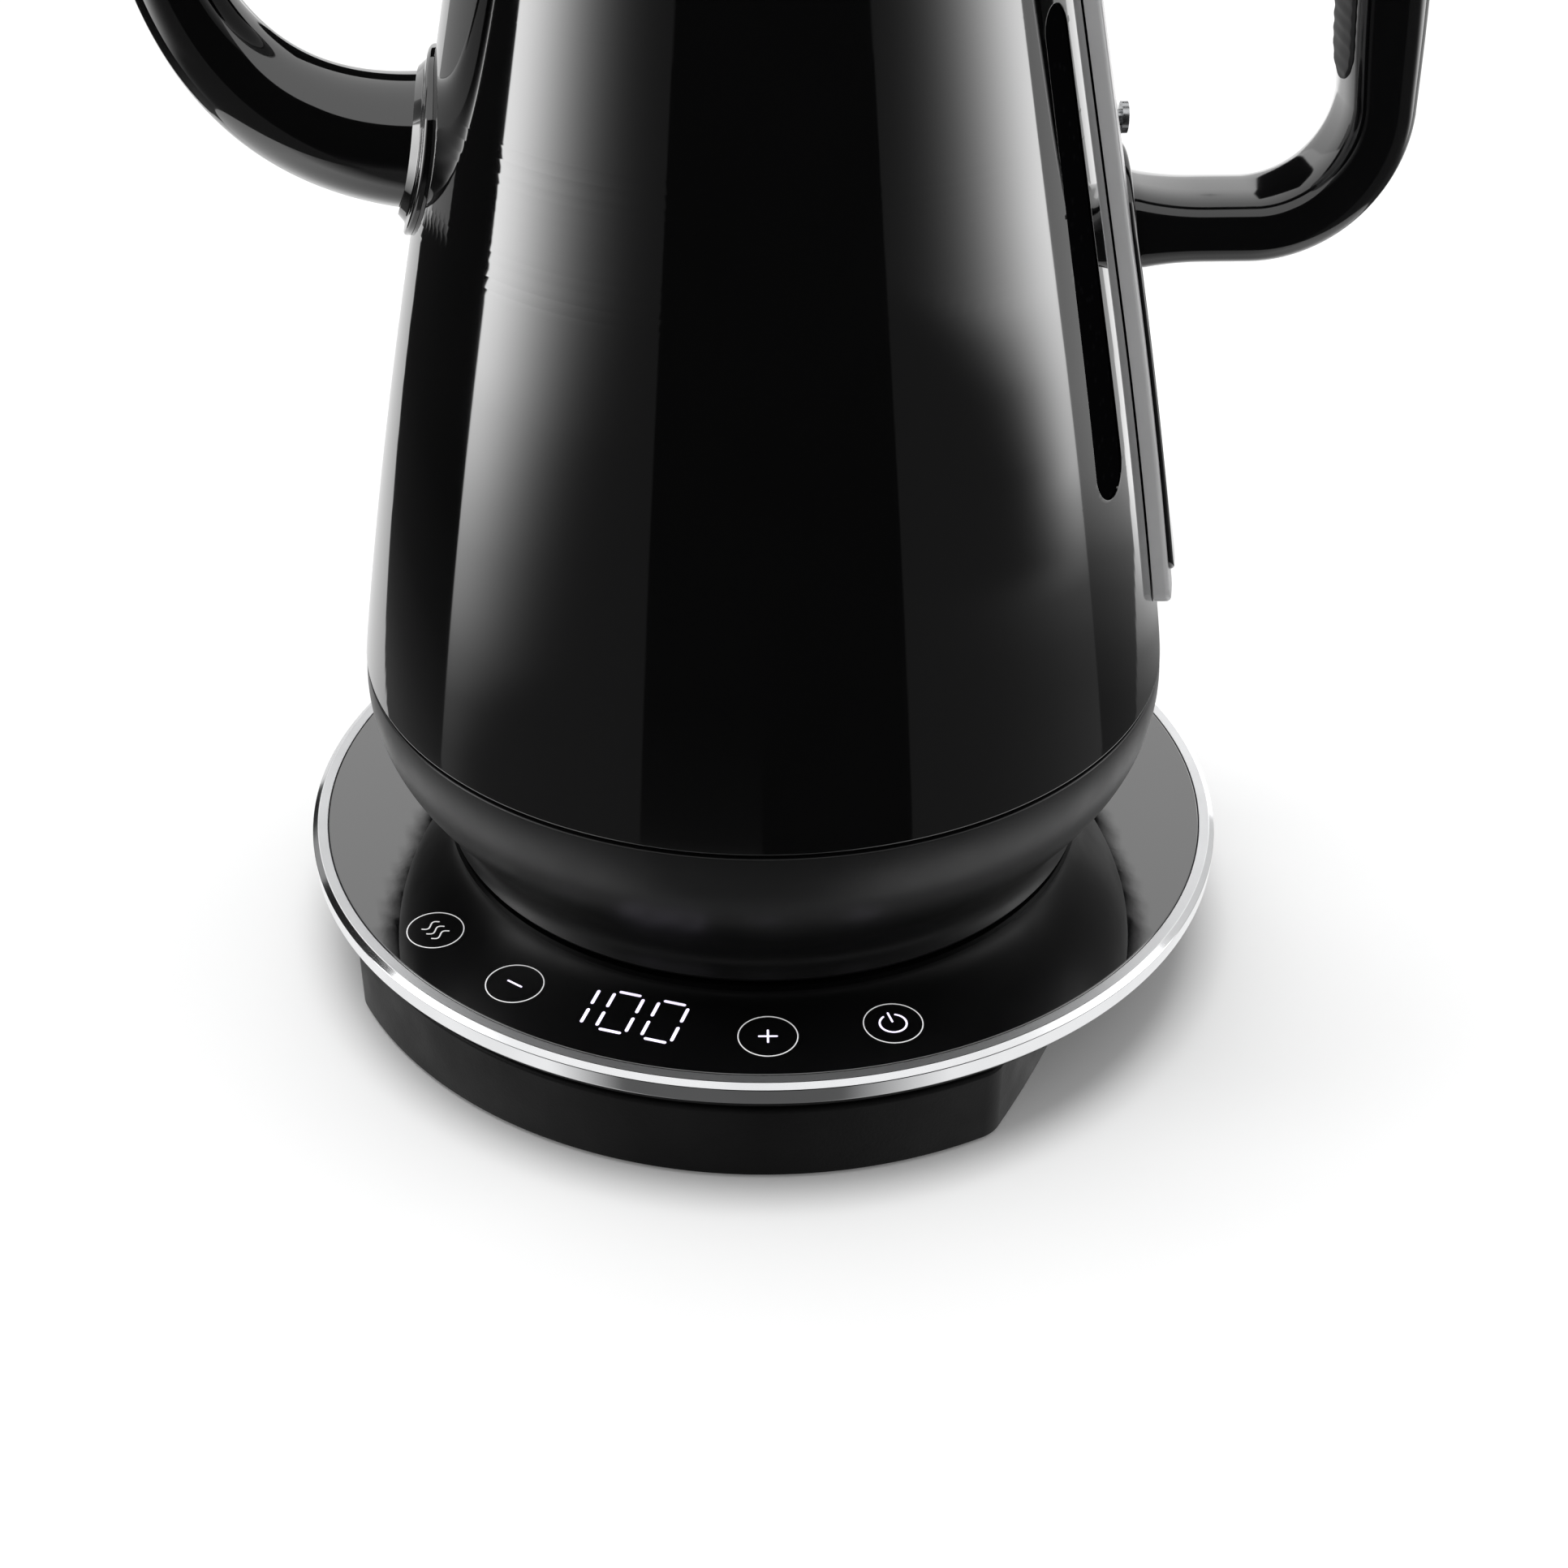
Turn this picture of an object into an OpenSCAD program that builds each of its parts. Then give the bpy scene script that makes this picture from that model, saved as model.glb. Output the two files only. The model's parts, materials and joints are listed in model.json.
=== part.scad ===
// Electric gooseneck kettle on a round glass-topped control base.
// Millimetres, +Z up. The origin is on the table, on the common axis of base and kettle.
// The spout points along -X and the handle along +X.

/* [Base plinth] */
// Step from the glass's edge in to the front and back walls of the plinth
plinth_inset = 0.2; // [0:0.1:2]
// Half width of the plinth between its bowed side walls
plinth_half_w = 75.5; // [68:0.5:82]
// Radius of the bow of the side walls
plinth_side_r = 306; // [250:2:500]
// Radius of the four upright corners
plinth_corner_r = 8; // [5:0.5:12]
// Height of the plinth's deck above the table
deck_z = 18.5; // [18.2:0.1:19.5]
// Wall thickness of the plinth
plinth_wall = 2.5; // [2:0.1:3]
// Height of the rubber feet
foot_h = 0.9; // [0.8:0.1:1.4]
// Radius of a rubber foot
foot_r = 6; // [4:0.5:8]
// Turn of the base's control side away from the kettle's front
base_turn = -19.2; // [-60:0.2:60]

/* [Glass disc] */
// Radius of the glass
glass_r = 95; // [94.5:0.1:97]
// Height of the glass surface above the table
glass_z = 26.9; // [26.5:0.1:28]
// Thickness of the glass
glass_t = 3; // [2.5:0.1:3.2]
// Width of the polished trim around the glass
trim_w = 3.3; // [2.8:0.1:4.5]
// Radius of the trim's rounded outer edge
trim_edge_r = 1.2; // [0.8:0.1:1.4]
// Height of the trim
trim_h = 4.6; // [4.2:0.1:4.8]
// Distance of the touch keys' centres from the glass's edge
key_inset = 11; // [10:0.5:14]
// Angle between neighbouring touch keys
key_step = 17.4; // [15:0.1:18]

/* [Cordless connector] */
// Radius of the base's contact dome
dome_r = 18.5; // [17:0.1:20]
// Height of the dome above the glass
dome_h = 11; // [9:0.2:12]
// Radius of the kettle's centre pin
pin_r = 3; // [2.5:0.1:3.5]
// Radius of the inner contact ring, at the middle of its wall
inner_ring_r = 8.8; // [8:0.1:9.5]
// Radius of the outer contact ring, at the middle of its wall
outer_ring_r = 13.8; // [13:0.1:14.2]
// Wall of the contact rings
contact_t = 0.7; // [0.5:0.1:1]

/* [Kettle body] */
// Radius of the body at the seam with the lower bowl
body_bottom_r = 82.85; // [81:0.05:84]
// Radius of the body where its curved flank turns straight
body_knee_r = 68.3; // [66:0.1:70]
// Height of that turn
body_knee_z = 146.7; // [140:0.1:152]
// Radius of the body's upper rim
body_rim_r = 49.9; // [49:0.1:52]
// Height of the body's upper rim
body_rim_z = 232; // [228:0.5:240]
// Height of the seam between body and bowl
seam_z = 68.2; // [67:0.1:70]
// Gap that shows at the seam
seam_gap = 0.7; // [0.5:0.1:1.2]
// Wall thickness of the body
body_wall = 1.2; // [1:0.1:1.6]

/* [Lower bowl] */
// Radius of the bowl where it stands on the glass
bowl_foot_r = 68.9; // [66:0.1:71]
// Wall thickness of the bowl
bowl_wall = 2.4; // [2:0.1:3]
// Height of the water side of the heating plate
plate_z = 85; // [84:0.5:90]

/* [Water window] */
// Width of the window's slot at its lower end; it narrows as the body does
window_w = 12; // [8:0.5:14]
// Lower end of the slot
window_low_z = 117; // [112:0.5:130]
// Upper end of the slot
window_high_z = 205; // [180:0.5:212]
// Turn of the window from the kettle's front towards the handle
window_turn = 59.4; // [40:0.2:62]

/* [Gooseneck spout] */
// Height of the spout's root
spout_root_z = 173; // [170:0.5:180]
// Outer radius of the spout at its root
spout_root_r = 13; // [11:0.1:14]
// Outer radius of the spout at its mouth
spout_tip_r = 5.3; // [4.6:0.1:6.5]
// Wall thickness of the spout
spout_wall = 1; // [0.8:0.1:1.2]
// Distance of the mouth from the kettle's axis
spout_reach = 154; // [150:1:165]
// Height of the mouth above the table
spout_tip_z = 240; // [232:0.5:245]

/* [Handle] */
// Width of the grip
handle_w = 22; // [19:0.5:26]
// Thickness of the grip
grip_t = 13; // [11:0.5:15]
// Thickness of the rail that lies on the body
rail_t = 3.1; // [2.8:0.1:4]
// Width of the rail at its lower end
rail_w = 44.4; // [40:0.2:48]
// Lean of the rail's edges to each other, which narrows it towards the rim
rail_taper = 4.4; // [3.6:0.1:4.8]
// Lower end of the rail
rail_low_z = 84; // [80:0.5:95]
// Distance from the rail's end to the end of the tongue that covers it
tongue_step = 6; // [5:0.5:14]
// Step from the rail's edges in to the tongue's edges
tongue_inset = 2; // [1:0.1:3]
// Thickness of that tongue
tongue_t = 1; // [0.8:0.1:1.6]
// Height of the middle of the lower arm
arm_z = 156.5; // [154:0.5:160]
// Distance of the lower bend's centre from the kettle's axis
bend_x = 91; // [88:0.5:96]
// Radius of the lower bend, at the middle of the grip
low_bend_r = 22; // [18:0.5:24]
// Straight length of the grip
grip_len = 46; // [42:0.5:56]
// Radius of the upper bend, at the middle of the grip
high_bend_r = 21; // [18:0.5:23]

/* [Lid] */
// Radius of the opening in the collar
lid_hole_r = 44.5; // [43:0.1:45]
// Height of the collar above the body's rim
collar_h = 6; // [5:0.1:8]
// Height of the lid's dome
dome_rise = 5; // [4:0.1:8]
// Radius of the knob
knob_r = 13; // [10:0.5:16]
// Height of the knob above the lid
knob_h = 17; // [14:0.5:24]

/* [Hidden] */

$fn = 96;
eps = 0.01;
body_gap = 0.3;      // between pieces that move apart
fit_gap = 0.1;       // between pieces that stay together
screw_gap = 0.05;    // around a screw's shank
touch_gap = 0.02;    // between faces that bear on each other

// plinth
plinth_r = glass_r - plinth_inset;
cover_t = 2;
plinth_low_z = foot_h - 0.2;
deck_t = 2.5;
wall_screw_x = plinth_half_w - 14;
wall_screw_y = 32;
foot_x = plinth_half_w - 21;
foot_y = plinth_r - 34.2;
boss_r = 4.2;
boss_hole_h = 11;
screw_r = 1.45;
screw_shank_h = 9;
screw_head_r = 2.9;
screw_head_h = 1.2;
vent_pitch = 8;
vent_row_y = -18;
cover_vent_r = 1.6;
gland_z = 9.5;
gland_bore_r = 3.6;
gland_body_r = 5.4;
gland_flange_r = 7.4;
gland_flange_t = 1.5;
gland_nut_r = 6.2;
gland_nut_t = 1.8;
gland_len = 12;
power_board_w = 68;
power_board_d = 40;
power_board_y = plinth_r - 60.2;
power_board_z = 7.2;
power_board_t = 1.6;
transformer = [18, 14, 6.2];
relay = [12, 12, 5];
capacitor_r = 4;
varistor_r = 2.6;
capacitor_h = 6.4;
standoff_r = 3;
standoff_inset = 4;

// disc
key_ring_r = glass_r - key_inset;
trim_r = glass_r + fit_gap + trim_w;
trim_low_z = glass_z - trim_h;
glass_low_z = glass_z - glass_t;
tray_floor_t = 1.5;
tray_ledge_w = 2.8;
tray_foot_in = 1;    // from the plinth's edge in to the tray's foot
tray_lip_in = 1.2;   // from the trim's edge in to the tray's lip
tray_lip_h = 1.6;
rib_t = 2;
board_t = 1.2;
board_z = deck_z + tray_floor_t;
board_low_r = key_ring_r - 14;
board_half_angle = 43;
pad_r = 5.4;
display_w = 31;
display_d = 13;

// connector
connector_flange_r = 27;
connector_barrel_r = 21.8;
connector_low_z = deck_z - 7;
dome_top_z = glass_z + dome_h;
slot_half_w = 1.1;
slot_low_z = glass_z - 2;
cup_gap = 2;
cup_r = dome_r + cup_gap;
cup_wall = 1.2;
cup_low_z = glass_z + 1;
cup_roof_z = dome_top_z + cup_gap;
cup_roof_t = 2.4;
cup_flange_w = 4;
blade_low_z = glass_z + 1.2;

// bowl
bowl_low_z = glass_z + body_gap;
bowl_top_z = seam_z - seam_gap / 2;
port_r = cup_r + cup_wall + body_gap;
port_wall = 2.2;
port_top_z = cup_roof_z - body_gap;
lip_h = 4;
lip_t = 1.8;
bowl_boss_r = 4.6;
bowl_screw_turns = [30, 150, 270];
clamp_low_z = bowl_top_z + lip_h + 0.4;
clamp_t = 2;
clamp_w = 14.7;
clamp_ear_r = bowl_boss_r + 1;
clamp_ear_reach = 10;

// heating plate
plate_t = 1;
plate_low_z = plate_z - plate_t;
plate_rim_h = plate_low_z - clamp_low_z - clamp_t;
seal_w = 2.5;        // half way up the plate's rim
diffuser_t = 3;
element_tube_r = 3.6;
element_sweep = 300;
element_z = plate_low_z - diffuser_t - element_tube_r;
terminal_r = 1.3;
terminal_h = 6;      // of the cold ends and of the posts under them
post_inset = 4.6;
block_r = 25;
block_low_z = cup_roof_z + cup_roof_t + body_gap;
block_h = 15;
block_low_h = 11;
block_core_w = 28;
block_core_d = 40;
block_post_ring_r = 31;
block_post_r = 3.2;
block_foot_h = 3;
block_post_turns = [90, 210, 330];
sensor_x = 20;
sensor_r = 2.4;
grommet_w = 1.6;

// body wall: straight above the knee, below it a parabola that meets it without a kink
body_low_z = seam_z + seam_gap / 2;
wall_slope = (body_knee_r - body_rim_r) / (body_rim_z - body_knee_z);
flank_h = body_knee_z - body_low_z;
flank_bow = (body_knee_r + wall_slope * flank_h - body_bottom_r) / (flank_h * flank_h);
flank_steps = 12;
function wall_r(z) = z > body_knee_z
    ? body_knee_r - wall_slope * (z - body_knee_z)
    : body_knee_r + wall_slope * (body_knee_z - z) - flank_bow * pow(body_knee_z - z, 2);
function wall_in_r(z) = wall_r(z) - body_wall;
clamp_out_r = wall_in_r(clamp_low_z + clamp_t) - body_gap;
// span of the bars that cut through one side of the wall
cut_in_x = body_rim_r - 20;
cut_out_x = body_bottom_r + 17;
bowl_screw_ring_r = clamp_out_r - clamp_w - 7.7;
plate_r = wall_in_r((plate_z + clamp_low_z + clamp_t) / 2) - seal_w;
diffuser_r = plate_r - 11.4;
element_ring_r = diffuser_r - 16;
// heights at which the wall's outline has a corner between two levels
function wall_levels(low, high) = concat([low],
    [for (i = [0 : flank_steps]) let (z = body_low_z + i * flank_h / flank_steps)
        if (z > low + 1 && z < high - 1) z], [high]);

// window
window_gap = 0.15;
window_taper = atan(window_w / 2 * (1 - wall_r(window_high_z) / wall_r(window_low_z))
    / (window_high_z - window_low_z));
window_flange_w = 3;
gasket_t = 0.6;
lens_t = 1.6;

// spout
spout_sides = 24;
spout_rings = 15;
spout_hole_r = spout_root_r + fit_gap;
spout_root_x = wall_r(spout_root_z) - 8;
collar_flange_r = spout_root_r + 4;
collar_t = 1.4;
strainer_t = 0.8;
strainer_hole_r = 1.3;
strainer_pitch = 3.9;
// the neck is two Bezier curves in the XZ plane that share their middle direction
neck_mid = [-(spout_root_x + 0.51 * (spout_reach - spout_root_x)),
    spout_root_z + 0.5 * (spout_tip_z - spout_root_z)];
neck_dir = [-0.27, 0.963];
neck_low = [[-spout_root_x, spout_root_z], [-spout_root_x - 32, spout_root_z - 2],
    neck_mid - 20 * neck_dir, neck_mid];
neck_high = [neck_mid, neck_mid + 20 * neck_dir,
    [-spout_reach + 31, spout_tip_z + 2], [-spout_reach, spout_tip_z]];
function bezier(p, t) = pow(1 - t, 3) * p[0] + 3 * t * pow(1 - t, 2) * p[1]
    + 3 * t * t * (1 - t) * p[2] + pow(t, 3) * p[3];
function bezier_dir(p, t) = let (d = pow(1 - t, 2) * (p[1] - p[0])
    + 2 * t * (1 - t) * (p[2] - p[1]) + t * t * (p[3] - p[2])) d / norm(d);
function neck_point(s) = s < 1 ? bezier(neck_low, s) : bezier(neck_high, s - 1);
function neck_tangent(s) = s < 1 ? bezier_dir(neck_low, s) : bezier_dir(neck_high, s - 1);
function neck_r(s) = spout_tip_r + (spout_root_r - spout_tip_r) * pow(1 - s / 2, 1.7);

// handle
rail_gap = 0.25;
rail_high_z = body_rim_z - 1;
bar_squareness = 3.4;
bar_sides = 28;
bend_steps = 12;
root_flare = 5;
root_flare_len = 16;
grip_lean = 4;
arm_fall = 128;
rail_corner_r = 3;
// half width of the tongue at its lower end
tongue_half_w = rail_w / 2 - tongue_step * tan(rail_taper) - tongue_inset / cos(rail_taper);
pad_w = handle_w - 8;
pad_t = 1.6;
pad_margin = 3;      // from the ends of the straight grip
pad_sunk = 1;
// the tongue's round top is centred on the lower arm
tongue_high_z = arm_z + tongue_half_w * cos(rail_taper)
    - (arm_z - rail_low_z - tongue_step) * sin(rail_taper);
low_bend_c = [bend_x, arm_z + low_bend_r];
grip_start = low_bend_c + low_bend_r * side_dir(-grip_lean);
grip_end = grip_start + grip_len * path_dir(-grip_lean);
high_bend_c = grip_end - high_bend_r * side_dir(-grip_lean);
arm_start = high_bend_c + high_bend_r * side_dir(-arm_fall);
arm_len = (arm_start[0] - wall_r(body_rim_z) + 8) / sin(arm_fall);
function path_dir(a) = [sin(a), cos(a)];
function side_dir(a) = [cos(a), -sin(a)];
// extra thickness near a root, at a distance along the arm
function flare(d) = d < root_flare_len ? root_flare * pow(1 - d / root_flare_len, 2) : 0;
// stations of the bar from the lower root round to the upper one: place, direction, thickness
low_arm_len = bend_x - wall_r(arm_z);
low_arm = [for (d = [0 : 4 : low_arm_len - 1])
    [[bend_x - low_arm_len + d, arm_z], 90, grip_t + flare(d)]];
low_bend = [for (i = [0 : bend_steps]) let (a = 90 - i * (90 + grip_lean) / bend_steps)
    [low_bend_c + low_bend_r * side_dir(a), a, grip_t]];
grip_line = [for (i = [1 : 5]) [grip_start + i * grip_len / 6 * path_dir(-grip_lean),
    -grip_lean, grip_t + 1.2 * sin(i * 30)]];
high_bend = [for (i = [0 : bend_steps])
    let (a = -grip_lean - i * (arm_fall - grip_lean) / bend_steps)
    [high_bend_c + high_bend_r * side_dir(a), a, grip_t]];
high_arm = [for (d = [4 : 4 : arm_len]) [arm_start + d * path_dir(-arm_fall), -arm_fall,
    grip_t + flare(max(arm_len - 9 - d, 0))]];
bar_path = concat(low_arm, low_bend, grip_line, high_bend, high_arm);
function signed_pow(v, e) = sign(v) * pow(abs(v), e);
boss_low_zs = [100, 130];
boss_high_zs = [176, 208];
wall_boss_r = 4;
wall_boss_t = 2.2;

// lid
collar_top_z = body_rim_z + collar_h;
collar_skirt_h = 7;
collar_skirt_t = 1.5;
lid_low_z = collar_top_z + body_gap;
lid_r = body_rim_r - wall_slope * collar_h;
lid_edge_h = 1.4;
lid_t = 3;
lid_dome_r = (lid_r * lid_r + dome_rise * dome_rise) / (2 * dome_rise);
lid_top_z = lid_low_z + lid_edge_h + dome_rise;
seal_t = 1;
cup_plug_r = lid_hole_r - body_gap - seal_t;
cup_plug_h = 14;
cup_plug_t = 0.8;
vent_r = 1.5;
vent_ring_r = 30;
lid_screw_r = 2;
lid_screw_head_r = 4;
lid_screw_head_h = 2.2;
knob_stem_r = 5.5;
knob_stem_h = 6;

// ---------- shapes that several pieces share ----------

// Outline of the plinth, drawn in from the outside by an inset
module plinth_outline(inset) {
    r = plinth_r - inset;
    side = plinth_side_r - inset;
    corner = plinth_corner_r - inset;
    side_x = plinth_side_r - plinth_half_w;
    a = r - corner;
    b = side - corner;
    // centre of the corner round, inside both arcs by its own radius
    cx = (b * b - a * a - side_x * side_x) / (2 * side_x);
    cy = sqrt(a * a - cx * cx);
    turn = atan2(cy, cx);
    side_turn = atan2(cy, cx + side_x);
    reach = 3 * plinth_corner_r;
    difference() {
        intersection() {
            circle(r);
            translate([-side_x, 0]) circle(side, $fn = 240);
            translate([side_x, 0]) circle(side, $fn = 240);
        }
        for (mx = [0, 1], my = [0, 1])
            mirror([mx, 0]) mirror([0, my]) difference() {
                polygon([[cx, cy],
                    [cx, cy] + reach * [cos(side_turn), sin(side_turn)],
                    [cx, cy] + 1.2 * reach * [cos((turn + side_turn) / 2), sin((turn + side_turn) / 2)],
                    [cx, cy] + reach * [cos(turn), sin(turn)]]);
                translate([cx, cy]) circle(corner);
            }
    }
}

module base_frame() rotate([0, 0, base_turn]) children();

module at_screws() for (x = [-1, 1], y = [-1, 1])
    translate([x * wall_screw_x, y * wall_screw_y, 0]) children();

module at_standoffs() for (x = [-1, 1], y = [-1, 1])
    translate([x * (power_board_w / 2 - standoff_inset),
        power_board_y + power_board_d / 2 + y * (power_board_d / 2 - standoff_inset), 0]) children();

module ring(r_in, r_out, z, h) translate([0, 0, z]) difference() {
    cylinder(r = r_out, h = h);
    translate([0, 0, -eps]) cylinder(r = r_in, h = h + 2 * eps);
}

// Band that follows the body's wall between two distances from its outer face
module wall_band(near, far, low, high) rotate_extrude($fn = 180) {
    levels = wall_levels(low, high);
    polygon(concat([for (z = levels) [wall_r(z) + far, z]],
        [for (i = [len(levels) - 1 : -1 : 0]) [wall_r(levels[i]) + near, levels[i]]]));
}

// Everything within a distance of the body's outer face
module inside_wall(offset, low, high) rotate_extrude($fn = 180)
    polygon(concat([[0, high], [0, low]], [for (z = wall_levels(low, high)) [wall_r(z) + offset, z]]));

// Upright bar that points along +X and narrows upwards: round corners below, a round top.
// The width is that at its lower end, were the corners sharp; inset moves the whole outline in.
module tapered_bar(w, low, high, taper, corner_r, inset = 0) {
    half = w / 2 - inset * (tan(taper) + 1 / cos(taper));
    r = corner_r - inset;
    foot = low + inset;
    corner_x = half - r * (1 + sin(taper)) / cos(taper);
    crown_r = (half * cos(taper) - (high - inset - foot) * sin(taper)) / (1 - sin(taper));
    crown_z = high - inset - crown_r;
    // the flanks run just inside the rounds, so that they cross them instead of touching
    out = [cos(taper), sin(taper)];
    hip = [corner_x, foot + r] + (r - touch_gap) * out;
    shoulder = [0, crown_z] + (crown_r - touch_gap) * out;
    rotate([90, 0, 90]) linear_extrude(height = 200) {
        for (x = corner_x > eps ? [-corner_x, corner_x] : [0]) translate([x, foot + r]) circle(r);
        if (corner_x > eps) translate([-corner_x, foot]) square([2 * corner_x, 2 * r]);
        polygon([[-hip[0], hip[1]], hip, shoulder, [-shoulder[0], shoulder[1]]]);
        translate([0, crown_z]) circle(crown_r);
    }
}

// Outline of the window's slot, moved in by a distance
module window_bar(inset = 0)
    tapered_bar(window_w * (1 + sin(window_taper)) / cos(window_taper), window_low_z, window_high_z,
        window_taper, window_w / 2, inset);

module at_window() rotate([0, 0, window_turn - 90]) children();

// Cylinder along +X
module cross_bar(r, x0, x1) translate([x0, 0, 0]) rotate([0, 90, 0]) cylinder(r = r, h = x1 - x0);

// Tapered tube along the neck's curve
module neck(shrink, s0, s1, rings) {
    step = (s1 - s0) / rings;
    points = [for (i = [0 : rings], k = [0 : spout_sides - 1])
        let (s = s0 + i * step, c = neck_point(s), d = neck_tangent(s),
            a = k * 360 / spout_sides, r = neck_r(min(max(s, 0), 2)) - shrink)
        [c[0] - r * cos(a) * d[1], r * sin(a), c[1] + r * cos(a) * d[0]]];
    sides = [for (i = [0 : rings - 1], k = [0 : spout_sides - 1])
        let (a = i * spout_sides + k, b = i * spout_sides + (k + 1) % spout_sides)
        [a, b, b + spout_sides, a + spout_sides]];
    first = [for (k = [spout_sides - 1 : -1 : 0]) k];
    last = [for (k = [0 : spout_sides - 1]) rings * spout_sides + k];
    polyhedron(points, concat(sides, [first], [last]));
}

// Bar with crowned faces and soft corners along a list of stations
module swept_bar(path, w) {
    points = [for (p = path, k = [0 : bar_sides - 1])
        let (a = k * 360 / bar_sides, e = 2 / bar_squareness,
            c = p[0] + p[2] / 2 * signed_pow(cos(a), e) * side_dir(p[1]))
        [c[0], w / 2 * signed_pow(sin(a), e), c[1]]];
    last = len(path) - 1;
    sides = [for (i = [0 : last - 1], k = [0 : bar_sides - 1])
        let (a = i * bar_sides + k, b = i * bar_sides + (k + 1) % bar_sides)
        [a, a + bar_sides, b + bar_sides, b]];
    polyhedron(points, concat(sides, [[for (k = [0 : bar_sides - 1]) k]],
        [[for (k = [bar_sides - 1 : -1 : 0]) last * bar_sides + k]]));
}

// Straight stretch of a section from a point, in a direction given by its angle from +Z
module run(from, angle, length) translate([from[0], 0, from[1]]) rotate([0, angle, 0])
    linear_extrude(height = length) children();

// ---------- base ----------

module base_housing() color("#1c1c1d") base_frame() {
    difference() {
        translate([0, 0, plinth_low_z]) linear_extrude(height = deck_z - plinth_low_z)
            plinth_outline(0);
        translate([0, 0, plinth_low_z - eps])
            linear_extrude(height = deck_z - deck_t - plinth_low_z + eps)
                plinth_outline(plinth_wall);
        translate([0, 0, deck_z - deck_t - 1])
            cylinder(r = connector_barrel_r + fit_gap, h = deck_t + 2);
        translate([0, 0, gland_z]) rotate([-90, 0, 0])
            cylinder(r = gland_body_r + fit_gap, h = plinth_r + 5);
    }
    at_screws() difference() {
        translate([0, 0, foot_h + cover_t]) cylinder(r = boss_r, h = deck_z - deck_t - foot_h - cover_t);
        translate([0, 0, foot_h]) cylinder(r = screw_r + screw_gap, h = boss_hole_h);
    }
    board_top = power_board_z + power_board_t;
    at_standoffs() translate([0, 0, board_top])
        cylinder(r = standoff_r, h = deck_z - deck_t - board_top);
}

module base_cover() color("#202021") base_frame() difference() {
    translate([0, 0, foot_h]) linear_extrude(height = cover_t)
        plinth_outline(plinth_wall + fit_gap);
    at_screws() {
        translate([0, 0, foot_h - 1]) cylinder(r = screw_r + screw_gap, h = cover_t + 2);
        translate([0, 0, foot_h - 1]) cylinder(r = screw_head_r + fit_gap, h = screw_head_h + 1);
    }
    for (i = [-3 : 3]) translate([i * vent_pitch, vent_row_y, foot_h - 1])
        cylinder(r = cover_vent_r, h = cover_t + 2, $fn = 24);
}

module base_feet() color("#2b2b2b") base_frame()
    for (x = [-1, 1], y = [-1, 1])
        translate([x * foot_x, y * foot_y, 0]) cylinder(r = foot_r, h = foot_h);

module base_screws() color("silver") base_frame() at_screws() {
    translate([0, 0, foot_h]) cylinder(r = screw_head_r, h = screw_head_h);
    translate([0, 0, foot_h + screw_head_h - eps]) cylinder(r = screw_r, h = screw_shank_h);
}

module cord_gland() color("#262626") base_frame()
    translate([0, plinth_r, gland_z]) rotate([-90, 0, 0]) difference() {
        union() {
            translate([0, 0, -gland_len + gland_flange_t]) cylinder(r = gland_body_r, h = gland_len);
            cylinder(r = gland_flange_r, h = gland_flange_t);
            translate([0, 0, -plinth_wall - gland_nut_t - 0.8])
                cylinder(r = gland_nut_r, h = gland_nut_t);
        }
        translate([0, 0, -gland_len]) cylinder(r = gland_bore_r, h = 2 * gland_len);
    }

module power_board() color("#1f5a38") base_frame() difference() {
    translate([-power_board_w / 2, power_board_y, power_board_z])
        cube([power_board_w, power_board_d, power_board_t]);
    at_standoffs() translate([0, 0, power_board_z - 1])
        cylinder(r = screw_r + screw_gap, h = power_board_t + 2);
}

module power_parts() color("#3a3a3c") base_frame()
    translate([0, power_board_y, power_board_z + power_board_t]) {
        translate([-1.5 * transformer[0], power_board_d / 4, 0]) cube(transformer);
        translate([-relay[0] / 3, power_board_d / 4, 0]) cube(relay);
        translate([4.5 * capacitor_r, 4.5 * capacitor_r, 0]) cylinder(r = capacitor_r, h = capacitor_h);
        translate([5 * capacitor_r, 7.25 * capacitor_r, 0]) cylinder(r = varistor_r, h = capacitor_h);
    }

module panel_tray() color("#161617") base_frame() difference() {
    rotate_extrude($fn = 180) polygon([[0, deck_z], [plinth_r - tray_foot_in, deck_z],
        [trim_r - tray_lip_in - 0.4, trim_low_z - tray_lip_h], [trim_r - tray_lip_in, trim_low_z],
        [glass_r, trim_low_z], [glass_r, glass_low_z], [0, glass_low_z]]);
    difference() {
        translate([0, 0, deck_z + tray_floor_t])
            cylinder(r = glass_r - tray_ledge_w, h = glass_t + 2, $fn = 180);
        for (r = [connector_flange_r + 1, board_low_r - 8])
            ring(r, r + rib_t, deck_z, glass_low_z - deck_z);
    }
    translate([0, 0, deck_z - 1]) cylinder(r = connector_barrel_r + fit_gap, h = 6);
}

module board_sector(low_r, high_r, half_angle) difference() {
    intersection() {
        circle(high_r, $fn = 180);
        polygon([[0, 0], [-2 * high_r * sin(half_angle), -2 * high_r * cos(half_angle)],
            [2 * high_r * sin(half_angle), -2 * high_r * cos(half_angle)]]);
    }
    circle(low_r, $fn = 180);
}

module control_board() color("#1f5a38") base_frame() translate([0, 0, board_z])
    linear_extrude(height = board_t)
        board_sector(board_low_r, glass_r - tray_ledge_w - 0.5, board_half_angle);

module at_keys() for (i = [-2, -1, 1, 2])
    rotate([0, 0, i * key_step]) translate([0, -key_ring_r, 0]) children();

module touch_pads() color("#b87333") base_frame() at_keys()
    translate([0, 0, board_z + board_t]) cylinder(r = pad_r, h = glass_low_z - board_z - board_t);

module display_module() color("#dcd8e6") base_frame()
    translate([-display_w / 2, -key_ring_r - display_d / 2, board_z + board_t])
        cube([display_w, display_d, glass_low_z - board_z - board_t]);

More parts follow.
